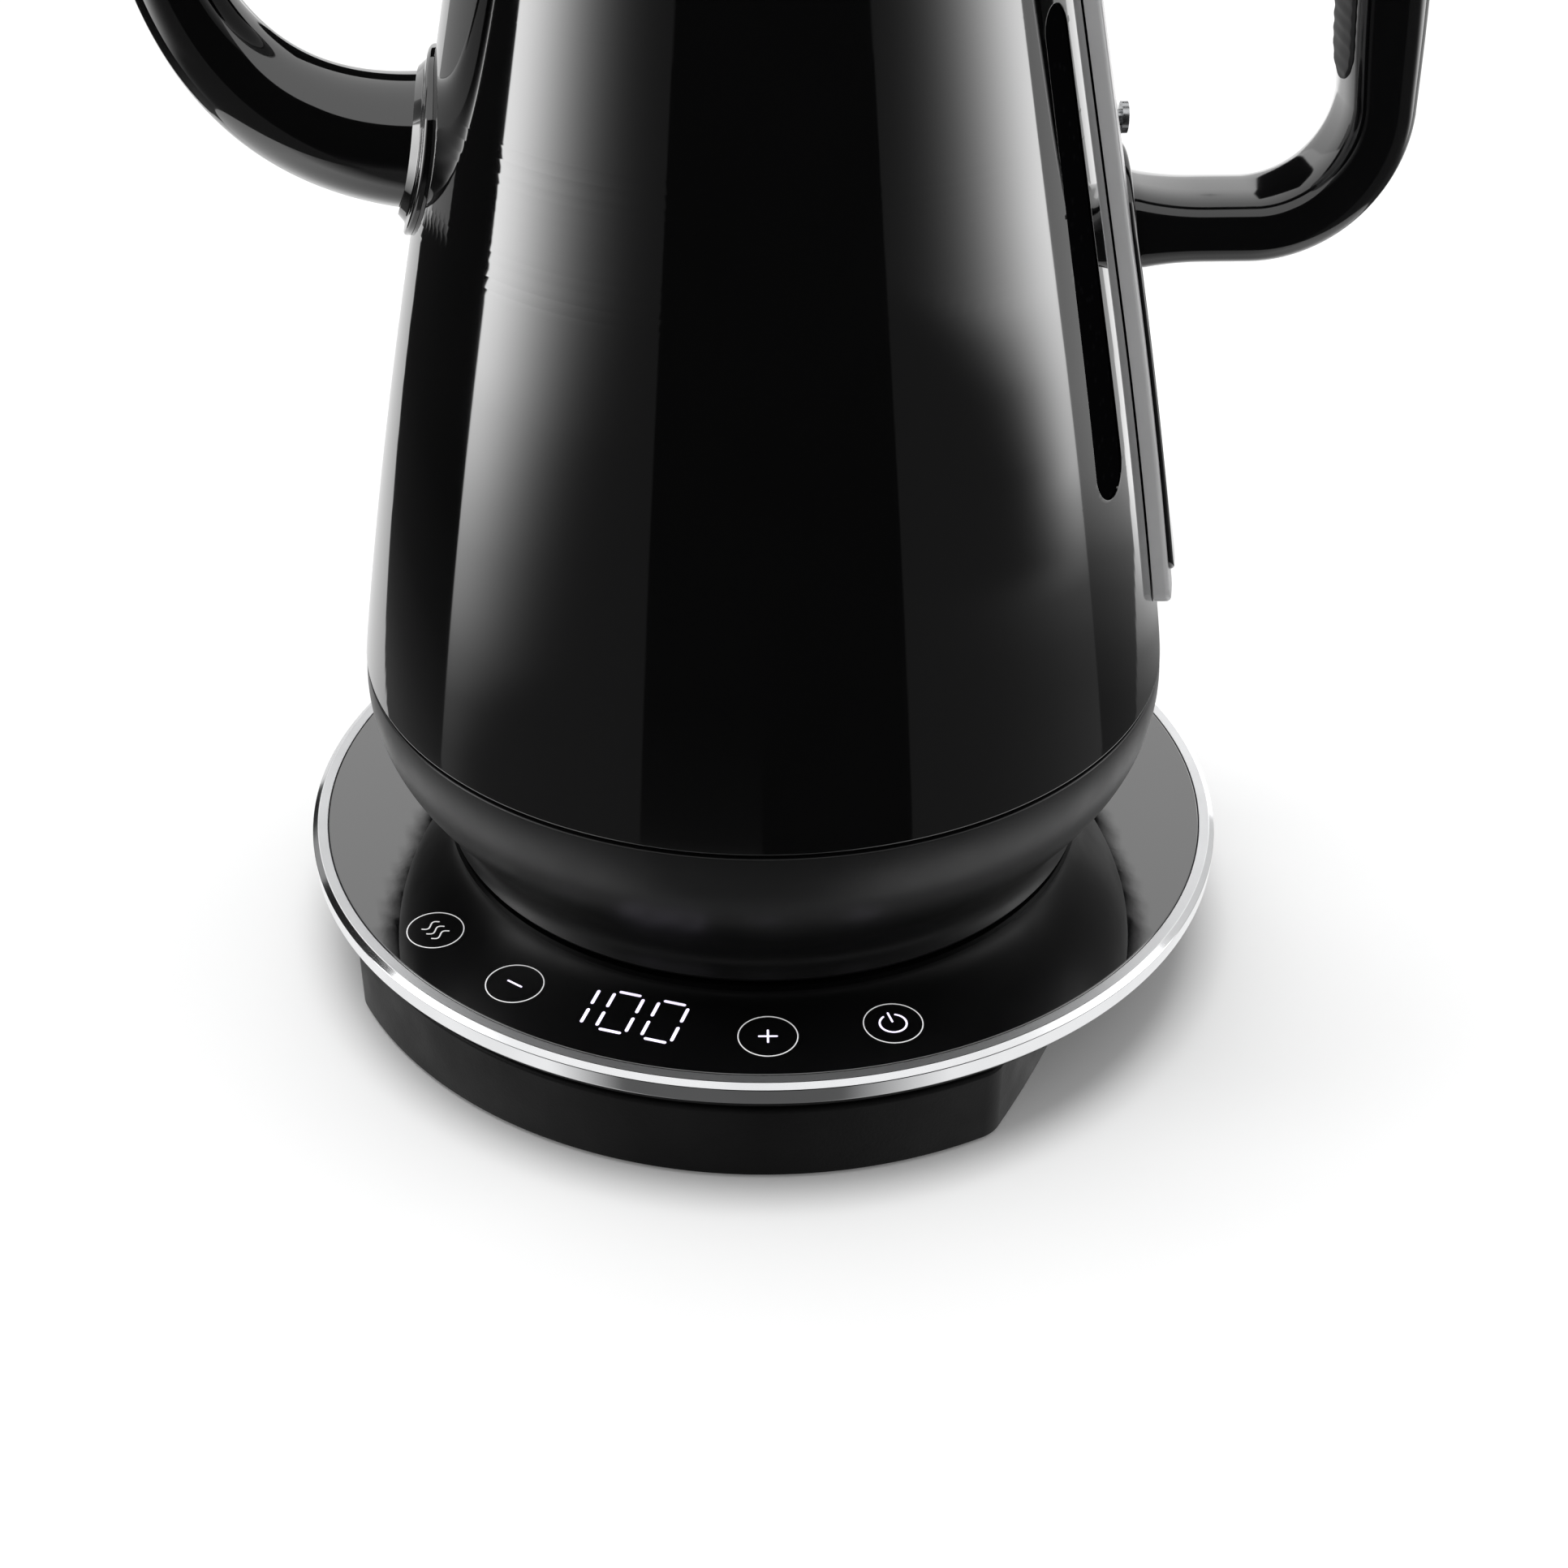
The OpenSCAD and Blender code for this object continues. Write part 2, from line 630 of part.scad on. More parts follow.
module glass_panel() color("#050506") base_frame() difference() {
    translate([0, 0, glass_low_z]) cylinder(r = glass_r, h = glass_t, $fn = 240);
    translate([0, 0, glass_low_z - 1]) cylinder(r = dome_r + fit_gap, h = glass_t + 2);
}

module trim_ring() color("#d9dbde") base_frame() rotate_extrude($fn = 240) {
    r_in = glass_r + fit_gap;
    lower_r = trim_edge_r * 0.7;
    translate([r_in, trim_low_z]) square([trim_r - trim_edge_r - r_in, trim_h]);
    translate([r_in, trim_low_z + lower_r])
        square([trim_r - r_in, trim_h - trim_edge_r - lower_r]);
    translate([trim_r - trim_edge_r, glass_z - trim_edge_r]) circle(trim_edge_r, $fn = 64);
    translate([trim_r - lower_r, trim_low_z + lower_r]) circle(lower_r, $fn = 64);
}

module base_connector() color("#1a1a1b") difference() {
    union() {
        translate([0, 0, connector_low_z])
            cylinder(r = connector_barrel_r, h = glass_low_z - connector_low_z);
        translate([0, 0, deck_z + tray_floor_t])
            cylinder(r = connector_flange_r, h = glass_low_z - deck_z - tray_floor_t);
        rotate_extrude() {
            translate([0, glass_low_z - 1]) square([dome_r, dome_top_z - glass_low_z - 1]);
            square([dome_r - 2, dome_top_z]);
            translate([dome_r - 2, dome_top_z - 2]) circle(2, $fn = 64);
        }
    }
    translate([0, 0, slot_low_z]) cylinder(r = pin_r + 0.5, h = dome_h + 5);
    for (r = [inner_ring_r, outer_ring_r])
        ring(r - slot_half_w, r + slot_half_w, slot_low_z, dome_h + 5);
    translate([0, 0, -1]) cylinder(r = connector_barrel_r - 2, h = connector_low_z + 4);
}

module contact_springs() color("#c9a24a") {
    translate([0, 0, slot_low_z]) cylinder(r = pin_r, h = blade_low_z - slot_low_z - 0.5);
    for (r = [inner_ring_r, outer_ring_r])
        ring(r - contact_t, r + contact_t, slot_low_z, blade_low_z - slot_low_z - 0.5);
}

// ---------- connector half on the kettle ----------

module kettle_connector() color("#232324") {
    ring(cup_r, cup_r + cup_wall, cup_low_z, cup_roof_z - cup_low_z + eps);
    difference() {
        translate([0, 0, cup_roof_z]) cylinder(r = cup_r + cup_wall + cup_flange_w, h = cup_roof_t);
        translate([0, 0, cup_roof_z - 1]) {
            cylinder(r = pin_r + touch_gap, h = cup_roof_t + 2);
            for (r = [inner_ring_r, outer_ring_r])
                ring(r - contact_t / 2 - touch_gap, r + contact_t / 2 + touch_gap, 0, 2);
        }
    }
}

module kettle_contacts() color("#c9a24a") {
    translate([0, 0, blade_low_z]) cylinder(r = pin_r, h = cup_roof_z + cup_roof_t - blade_low_z);
    for (r = [inner_ring_r, outer_ring_r])
        ring(r - contact_t / 2, r + contact_t / 2, blade_low_z, cup_roof_z + 1 - blade_low_z);
}

// ---------- kettle bottom ----------

// Points of the bowl's outer flank, from its foot up to the seam
bowl_top_r = body_bottom_r - 0.15;
bowl_curve = [[bowl_foot_r, bowl_low_z + 1.2], [bowl_foot_r - 4, bowl_low_z + 11],
    [bowl_top_r + 3, bowl_low_z + 18], [bowl_top_r, bowl_top_z]];
bowl_steps = 14;
bowl_flank = [for (i = [0 : bowl_steps]) bezier(bowl_curve, i / bowl_steps)];

module at_bowl_screws() for (a = bowl_screw_turns)
    rotate([0, 0, a]) translate([bowl_screw_ring_r, 0, 0]) children();

module bottom_bowl() color("#2f2f31") difference() {
    union() {
        rotate_extrude($fn = 180) polygon(concat(
            [[port_r, bowl_low_z], [bowl_foot_r - 1.6, bowl_low_z], [bowl_foot_r - 0.5, bowl_low_z + 0.4]],
            bowl_flank,
            [[wall_in_r(body_low_z + lip_h) - fit_gap, bowl_top_z],
             [wall_in_r(body_low_z + lip_h) - fit_gap, bowl_top_z + lip_h],
             [wall_in_r(body_low_z + lip_h) - fit_gap - lip_t, bowl_top_z + lip_h],
             [wall_in_r(body_low_z + lip_h) - fit_gap - lip_t, bowl_top_z - 2]],
            [for (i = [bowl_steps - 3 : -1 : 2]) bowl_flank[i] - [bowl_wall, 0]],
            [[bowl_foot_r - bowl_wall - 3, bowl_low_z + bowl_wall],
             [port_r + port_wall, bowl_low_z + bowl_wall], [port_r + port_wall, port_top_z],
             [port_r, port_top_z]]));
        at_bowl_screws() translate([0, 0, bowl_low_z])
            cylinder(r = bowl_boss_r, h = clamp_low_z - bowl_low_z);
        at_block_posts() translate([0, 0, bowl_low_z + 1])
            cylinder(r = block_post_r, h = block_low_z - bowl_low_z - 1);
    }
    at_bowl_screws() {
        translate([0, 0, bowl_low_z - 1]) cylinder(r = screw_r + screw_gap, h = 60);
        translate([0, 0, bowl_low_z - 1]) cylinder(r = screw_head_r + fit_gap, h = 5);
    }
}

module bowl_screws() color("silver") at_bowl_screws() {
    translate([0, 0, bowl_low_z + 4 - screw_head_h]) cylinder(r = screw_head_r, h = screw_head_h);
    translate([0, 0, bowl_low_z + 4 - eps]) cylinder(r = screw_r, h = clamp_low_z + clamp_t - bowl_low_z - 4);
}

module at_block_posts() for (a = block_post_turns)
    rotate([0, 0, a]) translate([block_post_ring_r, 0, 0]) children();

module control_block() color("#d8d4c8") translate([0, 0, block_low_z]) {
    cylinder(r = block_r, h = block_low_h);
    translate([-block_core_w / 2, -block_core_d / 2, 0]) cube([block_core_w, block_core_d, block_h]);
    at_block_posts() cylinder(r = block_post_r + 1, h = block_foot_h);
    for (a = block_post_turns) rotate([0, 0, a]) translate([0, -block_post_r - 1, 0])
        cube([block_post_ring_r, 2 * block_post_r + 2, block_foot_h]);
}

module clamp_ring() color("#9a9da0") difference() {
    union() {
        ring(clamp_out_r - clamp_w, clamp_out_r, clamp_low_z, clamp_t);
        at_bowl_screws() translate([0, 0, clamp_low_z]) {
            cylinder(r = clamp_ear_r, h = clamp_t);
            translate([0, -clamp_ear_r, 0]) cube([clamp_ear_reach, 2 * clamp_ear_r, clamp_t]);
        }
    }
    at_bowl_screws() translate([0, 0, clamp_low_z - 1]) cylinder(r = screw_r + screw_gap, h = clamp_t + 2);
}

module heating_element() color("#7d8084") {
    rotate([0, 0, 180 - element_sweep / 2]) translate([0, 0, element_z])
        rotate_extrude(angle = element_sweep) translate([element_ring_r, 0])
            circle(element_tube_r, $fn = 48);
    for (a = [-1, 1]) rotate([0, 0, 180 + a * element_sweep / 2])
        translate([element_ring_r, -a * post_inset, element_z]) {
            rotate([-90 * a, 0, 0]) cylinder(r = terminal_r, h = post_inset + terminal_h);
            translate([0, 0, -terminal_h - terminal_r]) cylinder(r = terminal_r, h = terminal_h + terminal_r);
        }
}

module diffuser_plate() color("#b9bcc0") difference() {
    translate([0, 0, plate_low_z - diffuser_t]) cylinder(r = diffuser_r, h = diffuser_t);
    translate([sensor_x, 0, 0]) cylinder(r = sensor_r + grommet_w + fit_gap, h = plate_z + 5);
}

module heater_plate() color("#c8cacd") difference() {
    union() {
        translate([0, 0, plate_low_z]) cylinder(r = plate_r, h = plate_t);
        ring(plate_r - plate_t, plate_r, plate_low_z - plate_rim_h, plate_rim_h + eps);
    }
    translate([sensor_x, 0, 0]) cylinder(r = sensor_r + grommet_w + fit_gap, h = plate_z + 5);
}

module plate_seal() color("#c9c4bb") rotate_extrude($fn = 180) {
    low = plate_low_z - plate_rim_h;
    polygon([[plate_r + touch_gap, low], [wall_in_r(low) - 0.05, low],
        [wall_in_r(plate_z) - 0.05, plate_z], [wall_in_r(plate_z + 1) - 0.05, plate_z + 1],
        [plate_r - 1, plate_z + 1], [plate_r - 1, plate_z + touch_gap],
        [plate_r + touch_gap, plate_z + touch_gap]]);
}

module temperature_sensor() color("#aeb1b5") translate([sensor_x, 0, 0]) {
    translate([0, 0, plate_low_z - 10]) cylinder(r = sensor_r, h = 17);
    translate([0, 0, plate_low_z + 7]) sphere(sensor_r, $fn = 48);
}

module sensor_grommet() color("#c9c4bb") translate([sensor_x, 0, 0]) {
    ring(sensor_r + touch_gap, sensor_r + grommet_w, plate_low_z - diffuser_t,
        plate_t + diffuser_t + 1);
    ring(sensor_r + touch_gap, sensor_r + grommet_w + 1.5, plate_z + touch_gap, 1);
}

// ---------- kettle body ----------

module kettle_shell() color("#0b0b0c") difference() {
    union() {
        wall_band(-body_wall, 0, body_low_z, body_rim_z);
        ring(body_bottom_r - body_wall - 0.1, body_bottom_r, body_low_z, 0.8);
    }
    at_window() window_bar();
    translate([0, 0, spout_root_z]) cross_bar(spout_hole_r, -wall_r(spout_root_z) - 9, -cut_in_x);
}

module window_gasket() color("#3c3c3e") at_window() difference() {
    intersection() {
        wall_band(-body_wall - gasket_t, -body_wall - touch_gap, window_low_z - 6, window_high_z + 6);
        window_bar(-window_flange_w);
    }
    window_bar(window_gap);
}

module water_window() color("#08080a") at_window() {
    intersection() {
        wall_band(-body_wall - gasket_t - lens_t, -0.4, window_low_z - 6, window_high_z + 6);
        window_bar(1.5 * window_gap);
    }
    intersection() {
        wall_band(-body_wall - gasket_t - lens_t, -body_wall - gasket_t,
            window_low_z - 6, window_high_z + 6);
        window_bar(-window_flange_w);
    }
}

// ---------- spout ----------

module spout() color("#0b0b0c") difference() {
    neck(0, 0, 2, 2 * spout_rings);
    neck(spout_wall, -0.02, 2.02, 2 * spout_rings);
    inside_wall(-body_wall, spout_root_z - 25, spout_root_z + 25);
}

module spout_collar() color("#0b0b0c") difference() {
    intersection() {
        wall_band(touch_gap, collar_t, spout_root_z - 30, spout_root_z + 30);
        translate([0, 0, spout_root_z]) cross_bar(collar_flange_r, -cut_out_x, -cut_in_x);
    }
    translate([0, 0, spout_root_z]) cross_bar(spout_hole_r, -cut_out_x, -cut_in_x);
}

module spout_strainer() color("#b4b6b9") difference() {
    intersection() {
        wall_band(-body_wall - strainer_t, -body_wall, spout_root_z - 30, spout_root_z + 30);
        translate([0, 0, spout_root_z]) cross_bar(collar_flange_r, -cut_out_x, -cut_in_x);
    }
    for (i = [-3 : 3], j = [-3 : 3]) {
        y = (i + j / 2) * strainer_pitch;
        z = j * strainer_pitch * sqrt(3) / 2;
        if (norm([y, z]) < spout_root_r - 2.5)
            translate([0, y, spout_root_z + z]) cross_bar(strainer_hole_r, -cut_out_x, -cut_in_x, $fn = 16);
    }
}

// ---------- handle ----------

module handle_bosses() color("#9a9da0") difference() {
    intersection() {
        wall_band(touch_gap, wall_boss_t, rail_low_z, rail_high_z);
        for (z = concat(boss_low_zs, boss_high_zs))
            translate([0, 0, z]) cross_bar(wall_boss_r, cut_in_x, cut_out_x);
    }
    for (z = boss_high_zs) translate([0, 0, z])
        cross_bar(screw_r + screw_gap, wall_r(z) + 0.7, cut_out_x);
}

module handle_rail() color("#111112") difference() {
    intersection() {
        wall_band(rail_gap, rail_gap + rail_t, rail_low_z - 2, rail_high_z + 2);
        tapered_bar(rail_w, rail_low_z, rail_high_z, rail_taper, rail_corner_r);
    }
    intersection() {
        wall_band(0, wall_boss_t + fit_gap, rail_low_z, rail_high_z);
        for (z = concat(boss_low_zs, boss_high_zs))
            translate([0, 0, z]) cross_bar(wall_boss_r + fit_gap, cut_in_x, cut_out_x);
    }
    for (z = boss_high_zs) translate([0, 0, z]) cross_bar(screw_r + screw_gap, cut_in_x, cut_out_x);
}

module handle_screws() color("silver") for (z = boss_high_zs) translate([0, 0, z]) {
    face = wall_r(z) + rail_gap + rail_t;
    cross_bar(screw_r, wall_r(z) + 0.8, face + 0.8);
    cross_bar(screw_head_r, face + 0.7, face + 0.7 + screw_head_h);
}

module handle_grip() color("#0c0c0d") difference() {
    union() {
        swept_bar(bar_path, handle_w);
        intersection() {
            wall_band(rail_gap + rail_t / 2, rail_gap + rail_t + tongue_t, rail_low_z, tongue_high_z);
            tapered_bar(2 * tongue_half_w, rail_low_z + tongue_step, tongue_high_z, rail_taper,
                rail_corner_r);
        }
    }
    inside_wall(rail_gap + rail_t, rail_low_z - 5, rail_high_z + 20);
    run(grip_start + pad_margin * path_dir(-grip_lean), -grip_lean, grip_len - 2 * pad_margin)
        translate([-grip_t / 2, 0]) square([2 * (pad_sunk + fit_gap), pad_w + 2 * fit_gap], center = true);
}

module grip_pad() color("#2a2a2b")
    run(grip_start + (pad_margin + fit_gap) * path_dir(-grip_lean), -grip_lean,
        grip_len - 2 * (pad_margin + fit_gap))
        translate([-grip_t / 2 + pad_sunk - pad_t / 2, 0]) square([pad_t, pad_w], center = true);

// ---------- rim and lid ----------

module rim_collar() color("#141415") rotate_extrude($fn = 180) {
    skirt_r = wall_in_r(body_rim_z) - fit_gap;
    skirt_z = body_rim_z - collar_skirt_h;
    polygon([[lid_hole_r, collar_top_z], [lid_r, collar_top_z],
        [body_rim_r - 0.1, body_rim_z + 0.05], [skirt_r, body_rim_z + 0.05], [skirt_r, skirt_z],
        [skirt_r - collar_skirt_t, skirt_z], [skirt_r - collar_skirt_t, body_rim_z],
        [lid_hole_r, body_rim_z + 1.5]]);
}

module lid_cap() color("#0b0b0c") difference() {
    rotate_extrude($fn = 180) {
        translate([0, lid_low_z]) square([lid_r, lid_edge_h]);
        intersection() {
            translate([0, lid_top_z - lid_dome_r]) circle(lid_dome_r, $fn = 720);
            translate([0, lid_low_z]) square([lid_r, 2 * dome_rise + 5]);
        }
    }
    rotate_extrude($fn = 180) intersection() {
        translate([0, lid_top_z - lid_dome_r]) circle(lid_dome_r - lid_t, $fn = 720);
        translate([0, lid_low_z - 1]) square([cup_plug_r - 4, 2 * dome_rise + 5]);
    }
    translate([0, 0, lid_low_z - 1]) cylinder(r = lid_screw_r + screw_gap, h = 20);
    for (a = [0 : 120 : 240]) rotate([0, 0, a]) translate([-vent_ring_r, 0, lid_low_z - 1])
        cylinder(r = vent_r, h = 20, $fn = 32);
}

module lid_cup() color("#c4c6c9") difference() {
    ring(0, cup_plug_r, lid_low_z - cup_plug_h, cup_plug_h);
    translate([0, 0, lid_low_z - cup_plug_h + cup_plug_t])
        cylinder(r = cup_plug_r - cup_plug_t, h = cup_plug_h);
    for (a = [0 : 120 : 240]) rotate([0, 0, a])
        translate([-vent_ring_r, 0, lid_low_z - cup_plug_h - 1])
            cylinder(r = vent_r, h = 4, $fn = 32);
}

module lid_seal() color("#3a3a3c") {
    ring(cup_plug_r + touch_gap, cup_plug_r + seal_t / 2, body_rim_z + 2, 3.4);
    for (z = [0, 2.2]) ring(cup_plug_r + touch_gap, cup_plug_r + seal_t, body_rim_z + 2 + z, 1.2);
}

module lid_screw() color("silver") {
    under = lid_top_z - lid_t - 0.05;
    translate([0, 0, under - lid_screw_head_h]) cylinder(r = lid_screw_head_r, h = lid_screw_head_h);
    translate([0, 0, under - eps]) cylinder(r = lid_screw_r, h = lid_t + knob_stem_h + 4);
}

module lid_knob() color("#0e0e0f") difference() {
    rotate_extrude() {
        cap_h = knob_h - knob_stem_h;
        translate([0, lid_top_z + touch_gap]) square([knob_stem_r, knob_stem_h + 1]);
        translate([0, lid_top_z + knob_stem_h]) intersection() {
            square([knob_r, cap_h]);
            translate([0, cap_h - 1.6 * knob_r]) circle(1.6 * knob_r, $fn = 180);
            translate([0, 1.35 * knob_r]) circle(1.35 * knob_r, $fn = 180);
        }
    }
    translate([0, 0, lid_top_z - 1]) cylinder(r = lid_screw_r + screw_gap, h = knob_stem_h + 6);
}

base_housing();
base_cover();
base_feet();
base_screws();
cord_gland();
power_board();
power_parts();
panel_tray();
control_board();
display_module();
touch_pads();
glass_panel();
trim_ring();
base_connector();
contact_springs();
kettle_connector();
kettle_contacts();
bottom_bowl();
bowl_screws();
control_block();
clamp_ring();
heating_element();
diffuser_plate();
heater_plate();
plate_seal();
temperature_sensor();
sensor_grommet();
kettle_shell();
window_gasket();
water_window();
spout_strainer();
spout_collar();
spout();
handle_bosses();
handle_rail();
handle_screws();
handle_grip();
grip_pad();
rim_collar();
lid_cap();
lid_cup();
lid_seal();
lid_screw();
lid_knob();
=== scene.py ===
"""Electric gooseneck kettle on a glass-topped control base: visible pieces, finishes and stage."""

import json
import math
from types import SimpleNamespace

import bmesh
import bpy
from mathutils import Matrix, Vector


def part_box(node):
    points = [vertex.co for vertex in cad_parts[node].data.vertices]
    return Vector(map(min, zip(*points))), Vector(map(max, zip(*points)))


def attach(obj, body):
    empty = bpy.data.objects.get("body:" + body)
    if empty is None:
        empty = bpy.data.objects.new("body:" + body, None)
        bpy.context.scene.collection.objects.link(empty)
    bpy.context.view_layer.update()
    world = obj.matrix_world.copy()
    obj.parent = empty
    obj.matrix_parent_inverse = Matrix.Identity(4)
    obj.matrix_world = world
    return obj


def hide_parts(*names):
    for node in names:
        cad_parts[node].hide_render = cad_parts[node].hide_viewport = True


bl_info = {
    "name": "Glass Base Kettle",
    "version": (1, 0, 0),
    "blender": (4, 5, 0),
    "location": "3D View > Sidebar > Kettle",
    "description": "Builds an electric kettle, its touch control base and a studio round them",
    "category": "Object",
}

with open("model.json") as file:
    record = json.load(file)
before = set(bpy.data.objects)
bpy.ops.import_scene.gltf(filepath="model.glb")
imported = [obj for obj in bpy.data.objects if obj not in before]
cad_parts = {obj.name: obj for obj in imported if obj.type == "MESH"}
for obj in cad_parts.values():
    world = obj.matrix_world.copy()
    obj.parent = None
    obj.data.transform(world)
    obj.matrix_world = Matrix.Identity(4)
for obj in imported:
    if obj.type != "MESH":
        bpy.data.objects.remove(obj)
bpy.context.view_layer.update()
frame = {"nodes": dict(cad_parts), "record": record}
MM = 0.001
WELD = 1.5e-6  # points nearer than this, in metres, become one
CREASE = 32  # edges bent by more degrees than this stay sharp
SOFT_CREASE = 40
ROUND_CREASE = 50


# ---------- sizes and colours ----------


def length(name, about, value):
    """Size property, given in millimetres and kept in metres."""
    return bpy.props.FloatProperty(
        name=name, description=about, default=value * MM, min=0.0, unit="LENGTH"
    )


def reach(name, about, value):
    """Place property along an axis, given in millimetres and kept in metres."""
    return bpy.props.FloatProperty(
        name=name, description=about, default=value * MM, unit="LENGTH"
    )


def angle(name, about, value):
    """Angle property, given in degrees and kept in radians."""
    return bpy.props.FloatProperty(
        name=name, description=about, default=math.radians(value), subtype="ANGLE"
    )


def tint(name, about, *rgb):
    """Linear colour property."""
    return bpy.props.FloatVectorProperty(
        name=name, description=about, default=rgb, size=3, min=0.0, max=1.0, subtype="COLOR"
    )


def share(name, about, value, top=1.0):
    """Plain number between nothing and its top."""
    return bpy.props.FloatProperty(name=name, description=about, default=value, min=0.0, max=top)


def cad_radius(node):
    """Outer radius of a round CAD node on the common axis, in millimetres."""
    return round((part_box(node)[1].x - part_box(node)[0].x) / 2 / MM, 3)


def cad_top(node):
    """Top of a CAD node above the table, in millimetres."""
    return round(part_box(node)[1].z / MM, 3)


def cad_low(node):
    """Underside of a CAD node above the table, in millimetres."""
    return round(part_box(node)[0].z / MM, 3)


class KettleBaseSizes(bpy.types.PropertyGroup):
    """Sizes of the control base."""

    turn: angle("Turn", "Turn of the base's control side away from the kettle's front", -19.2)
    plinth_radius: length("Plinth radius", "Radius of the plinth's front and back walls", 94.8)
    plinth_half_width: length("Plinth half width", "Half width between the bowed sides", 75.5)
    plinth_side_radius: length("Side bow radius", "Radius of the bowed sides", 306)
    plinth_corner: length("Corner radius", "Radius of the plinth's upright corners", 8)
    plinth_low: length("Plinth underside", "Height of the plinth's lower edge", 0.7)
    shoulder: length("Shoulder height", "Height of the ledge round the plinth's deck", 17.6)
    shoulder_round: length("Shoulder round", "Round between the walls and the ledge", 0.9)
    ledge: length("Ledge", "Width of the ledge", 1.7)
    deck: length("Deck height", "Height of the plinth's deck", 18.5)
    plinth_wall: length("Plinth wall", "Wall thickness of the plinth", 2.5)
    glass_radius: length("Glass radius", "Radius of the glass", cad_radius("glass_panel"))
    glass_top: length("Glass height", "Height of the glass surface", cad_top("glass_panel"))
    glass_thickness: length("Glass thickness", "Thickness of the glass", 3)
    glass_hole: length("Glass hole", "Radius of the hole round the contact dome", 18.62)
    glass_edge: length("Glass edge", "Round of the glass's ground edge", 0.35)
    trim_radius: length("Trim radius", "Outer radius of the polished trim", cad_radius("trim_ring"))
    trim_height: length("Trim height", "Height of the polished trim", 4.6)
    trim_facet: length("Trim facet", "Width of the facet along the trim's upper edge", 1.15)
    trim_edge: length("Trim edge", "Round between the trim's faces", 0.25)
    trim_lip: length("Trim lip", "Round of the trim's lower outer edge", 0.7)
    key_circle: length("Key circle", "Radius on which the touch keys lie", 84)
    key_step: angle("Key step", "Angle between neighbouring touch keys", 17.4)
    key_ring: length("Key ring", "Radius of the printed ring round a key", 5.73)
    key_line: length("Key line", "Width of the printed rings", 0.23)
    digit_circle: length("Digit place", "Distance of the digits' middle from the axis", 81.75)
    digit_height: length("Digit height", "Height of a digit between its outer bars", 11.5)
    digit_width: length("Digit width", "Width of a digit between its side bars", 6)
    digit_pitch: length("Digit pitch", "Distance between neighbouring digits", 9.2)
    digit_bar: length("Digit bar", "Width of a lit bar", 0.68)


class KettleBodySizes(bpy.types.PropertyGroup):
    """Sizes of the body, its bowl, window and spout."""

    bottom_radius: length("Bottom radius", "Radius at the seam with the lower bowl", 82.85)
    knee_radius: length("Knee radius", "Radius where the curved flank turns straight", 68.3)
    knee_height: length("Knee height", "Height of that turn", 146.7)
    rim_radius: length("Rim radius", "Radius of the upper rim", 49.9)
    rim_height: length("Rim height", "Height of the upper rim", 232)
    seam_height: length("Seam height", "Height of the seam between body and bowl", 68.2)
    seam_gap: length("Seam gap", "Gap that shows at the seam", 0.7)
    wall: length("Wall", "Wall thickness of the body", 1.2)
    bottom_edge: length("Bottom edge", "Round of the body's lower edge", 0.6)
    bowl_foot: length("Bowl foot", "Radius of the bowl where it stands", 68.9)
    bowl_low: length("Bowl underside", "Height of the bowl's underside", cad_low("bottom_bowl"))
    bowl_port: length("Bowl port", "Radius of the port for the contact dome", 22)
    screw_circle: length("Screw circle", "Radius on which the bowl's screws lie", 58.04)
    screw_recess: length("Screw recess", "Radius of the screws' recesses", 3.0)
    window_width: length("Window width", "Width of the water window's slot", 12)
    window_low: length("Window foot", "Lower end of the slot", 117)
    window_high: length("Window top", "Upper end of the slot", 205)
    window_turn: angle("Window turn", "Turn of the window from the front to the handle", 59.4)
    spout_root: length("Spout root height", "Height of the spout's root", 173)
    spout_root_radius: length("Spout root radius", "Outer radius at the root", 13)
    spout_tip_radius: length("Spout mouth radius", "Outer radius at the mouth", 5.3)
    spout_wall: length("Spout wall", "Wall thickness of the spout", 1)
    spout_reach: length("Spout reach", "Distance of the mouth from the axis", 154)
    spout_tip: length("Spout mouth height", "Height of the mouth", 240)
    flange_radius: length("Flange radius", "Radius of the flange at the spout's root", 17)
    flange_thickness: length("Flange thickness", "Thickness of that flange", 1.4)


class KettleHandleSizes(bpy.types.PropertyGroup):
    """Sizes of the handle and the rail that carries it."""

    width: length("Width", "Width of the grip", 22)
    thickness: length("Grip thickness", "Thickness of the grip", 13)
    rail_thickness: length("Rail thickness", "Thickness of the rail on the body", 3.1)
    rail_width: length("Rail width", "Width of the rail at its lower end", 44.4)
    rail_taper: angle("Rail taper", "Lean of the rail's edges towards each other", 4.4)
    rail_corner: length("Rail corner", "Radius of the rail's lower corners", 3)
    rail_gap: length("Rail gap", "Gap between body and rail", 0.25)
    rail_low: length("Rail foot", "Lower end of the rail", 84)
    rail_high: length("Rail top", "Upper end of the rail", 231)
    tongue_step: length("Tongue step", "From the rail's end to the tongue's end", 6)
    tongue_inset: length("Tongue inset", "From the rail's edges in to the tongue's edges", 2)
    tongue_thickness: length("Tongue thickness", "Thickness of the tongue", 1)
    arm_height: length("Arm height", "Height of the middle of the lower arm", 156.5)
    bend_place: length("Bend place", "Distance of the lower bend's centre from the axis", 91)
    low_bend: length("Lower bend", "Radius of the lower bend", 22)
    grip_length: length("Grip length", "Straight length of the grip", 46)
    high_bend: length("Upper bend", "Radius of the upper bend", 21)
    grip_lean: angle("Grip lean", "Lean of the grip towards the kettle", 4)
    arm_fall: angle("Arm fall", "Turn of the upper arm from upright", 128)
    flare: length("Root flare", "Extra thickness where an arm meets the rail", 5)
    flare_length: length("Root flare length", "Length of that flare", 16)
    squareness: share("Squareness", "How square the grip's section is", 3.4, 8.0)


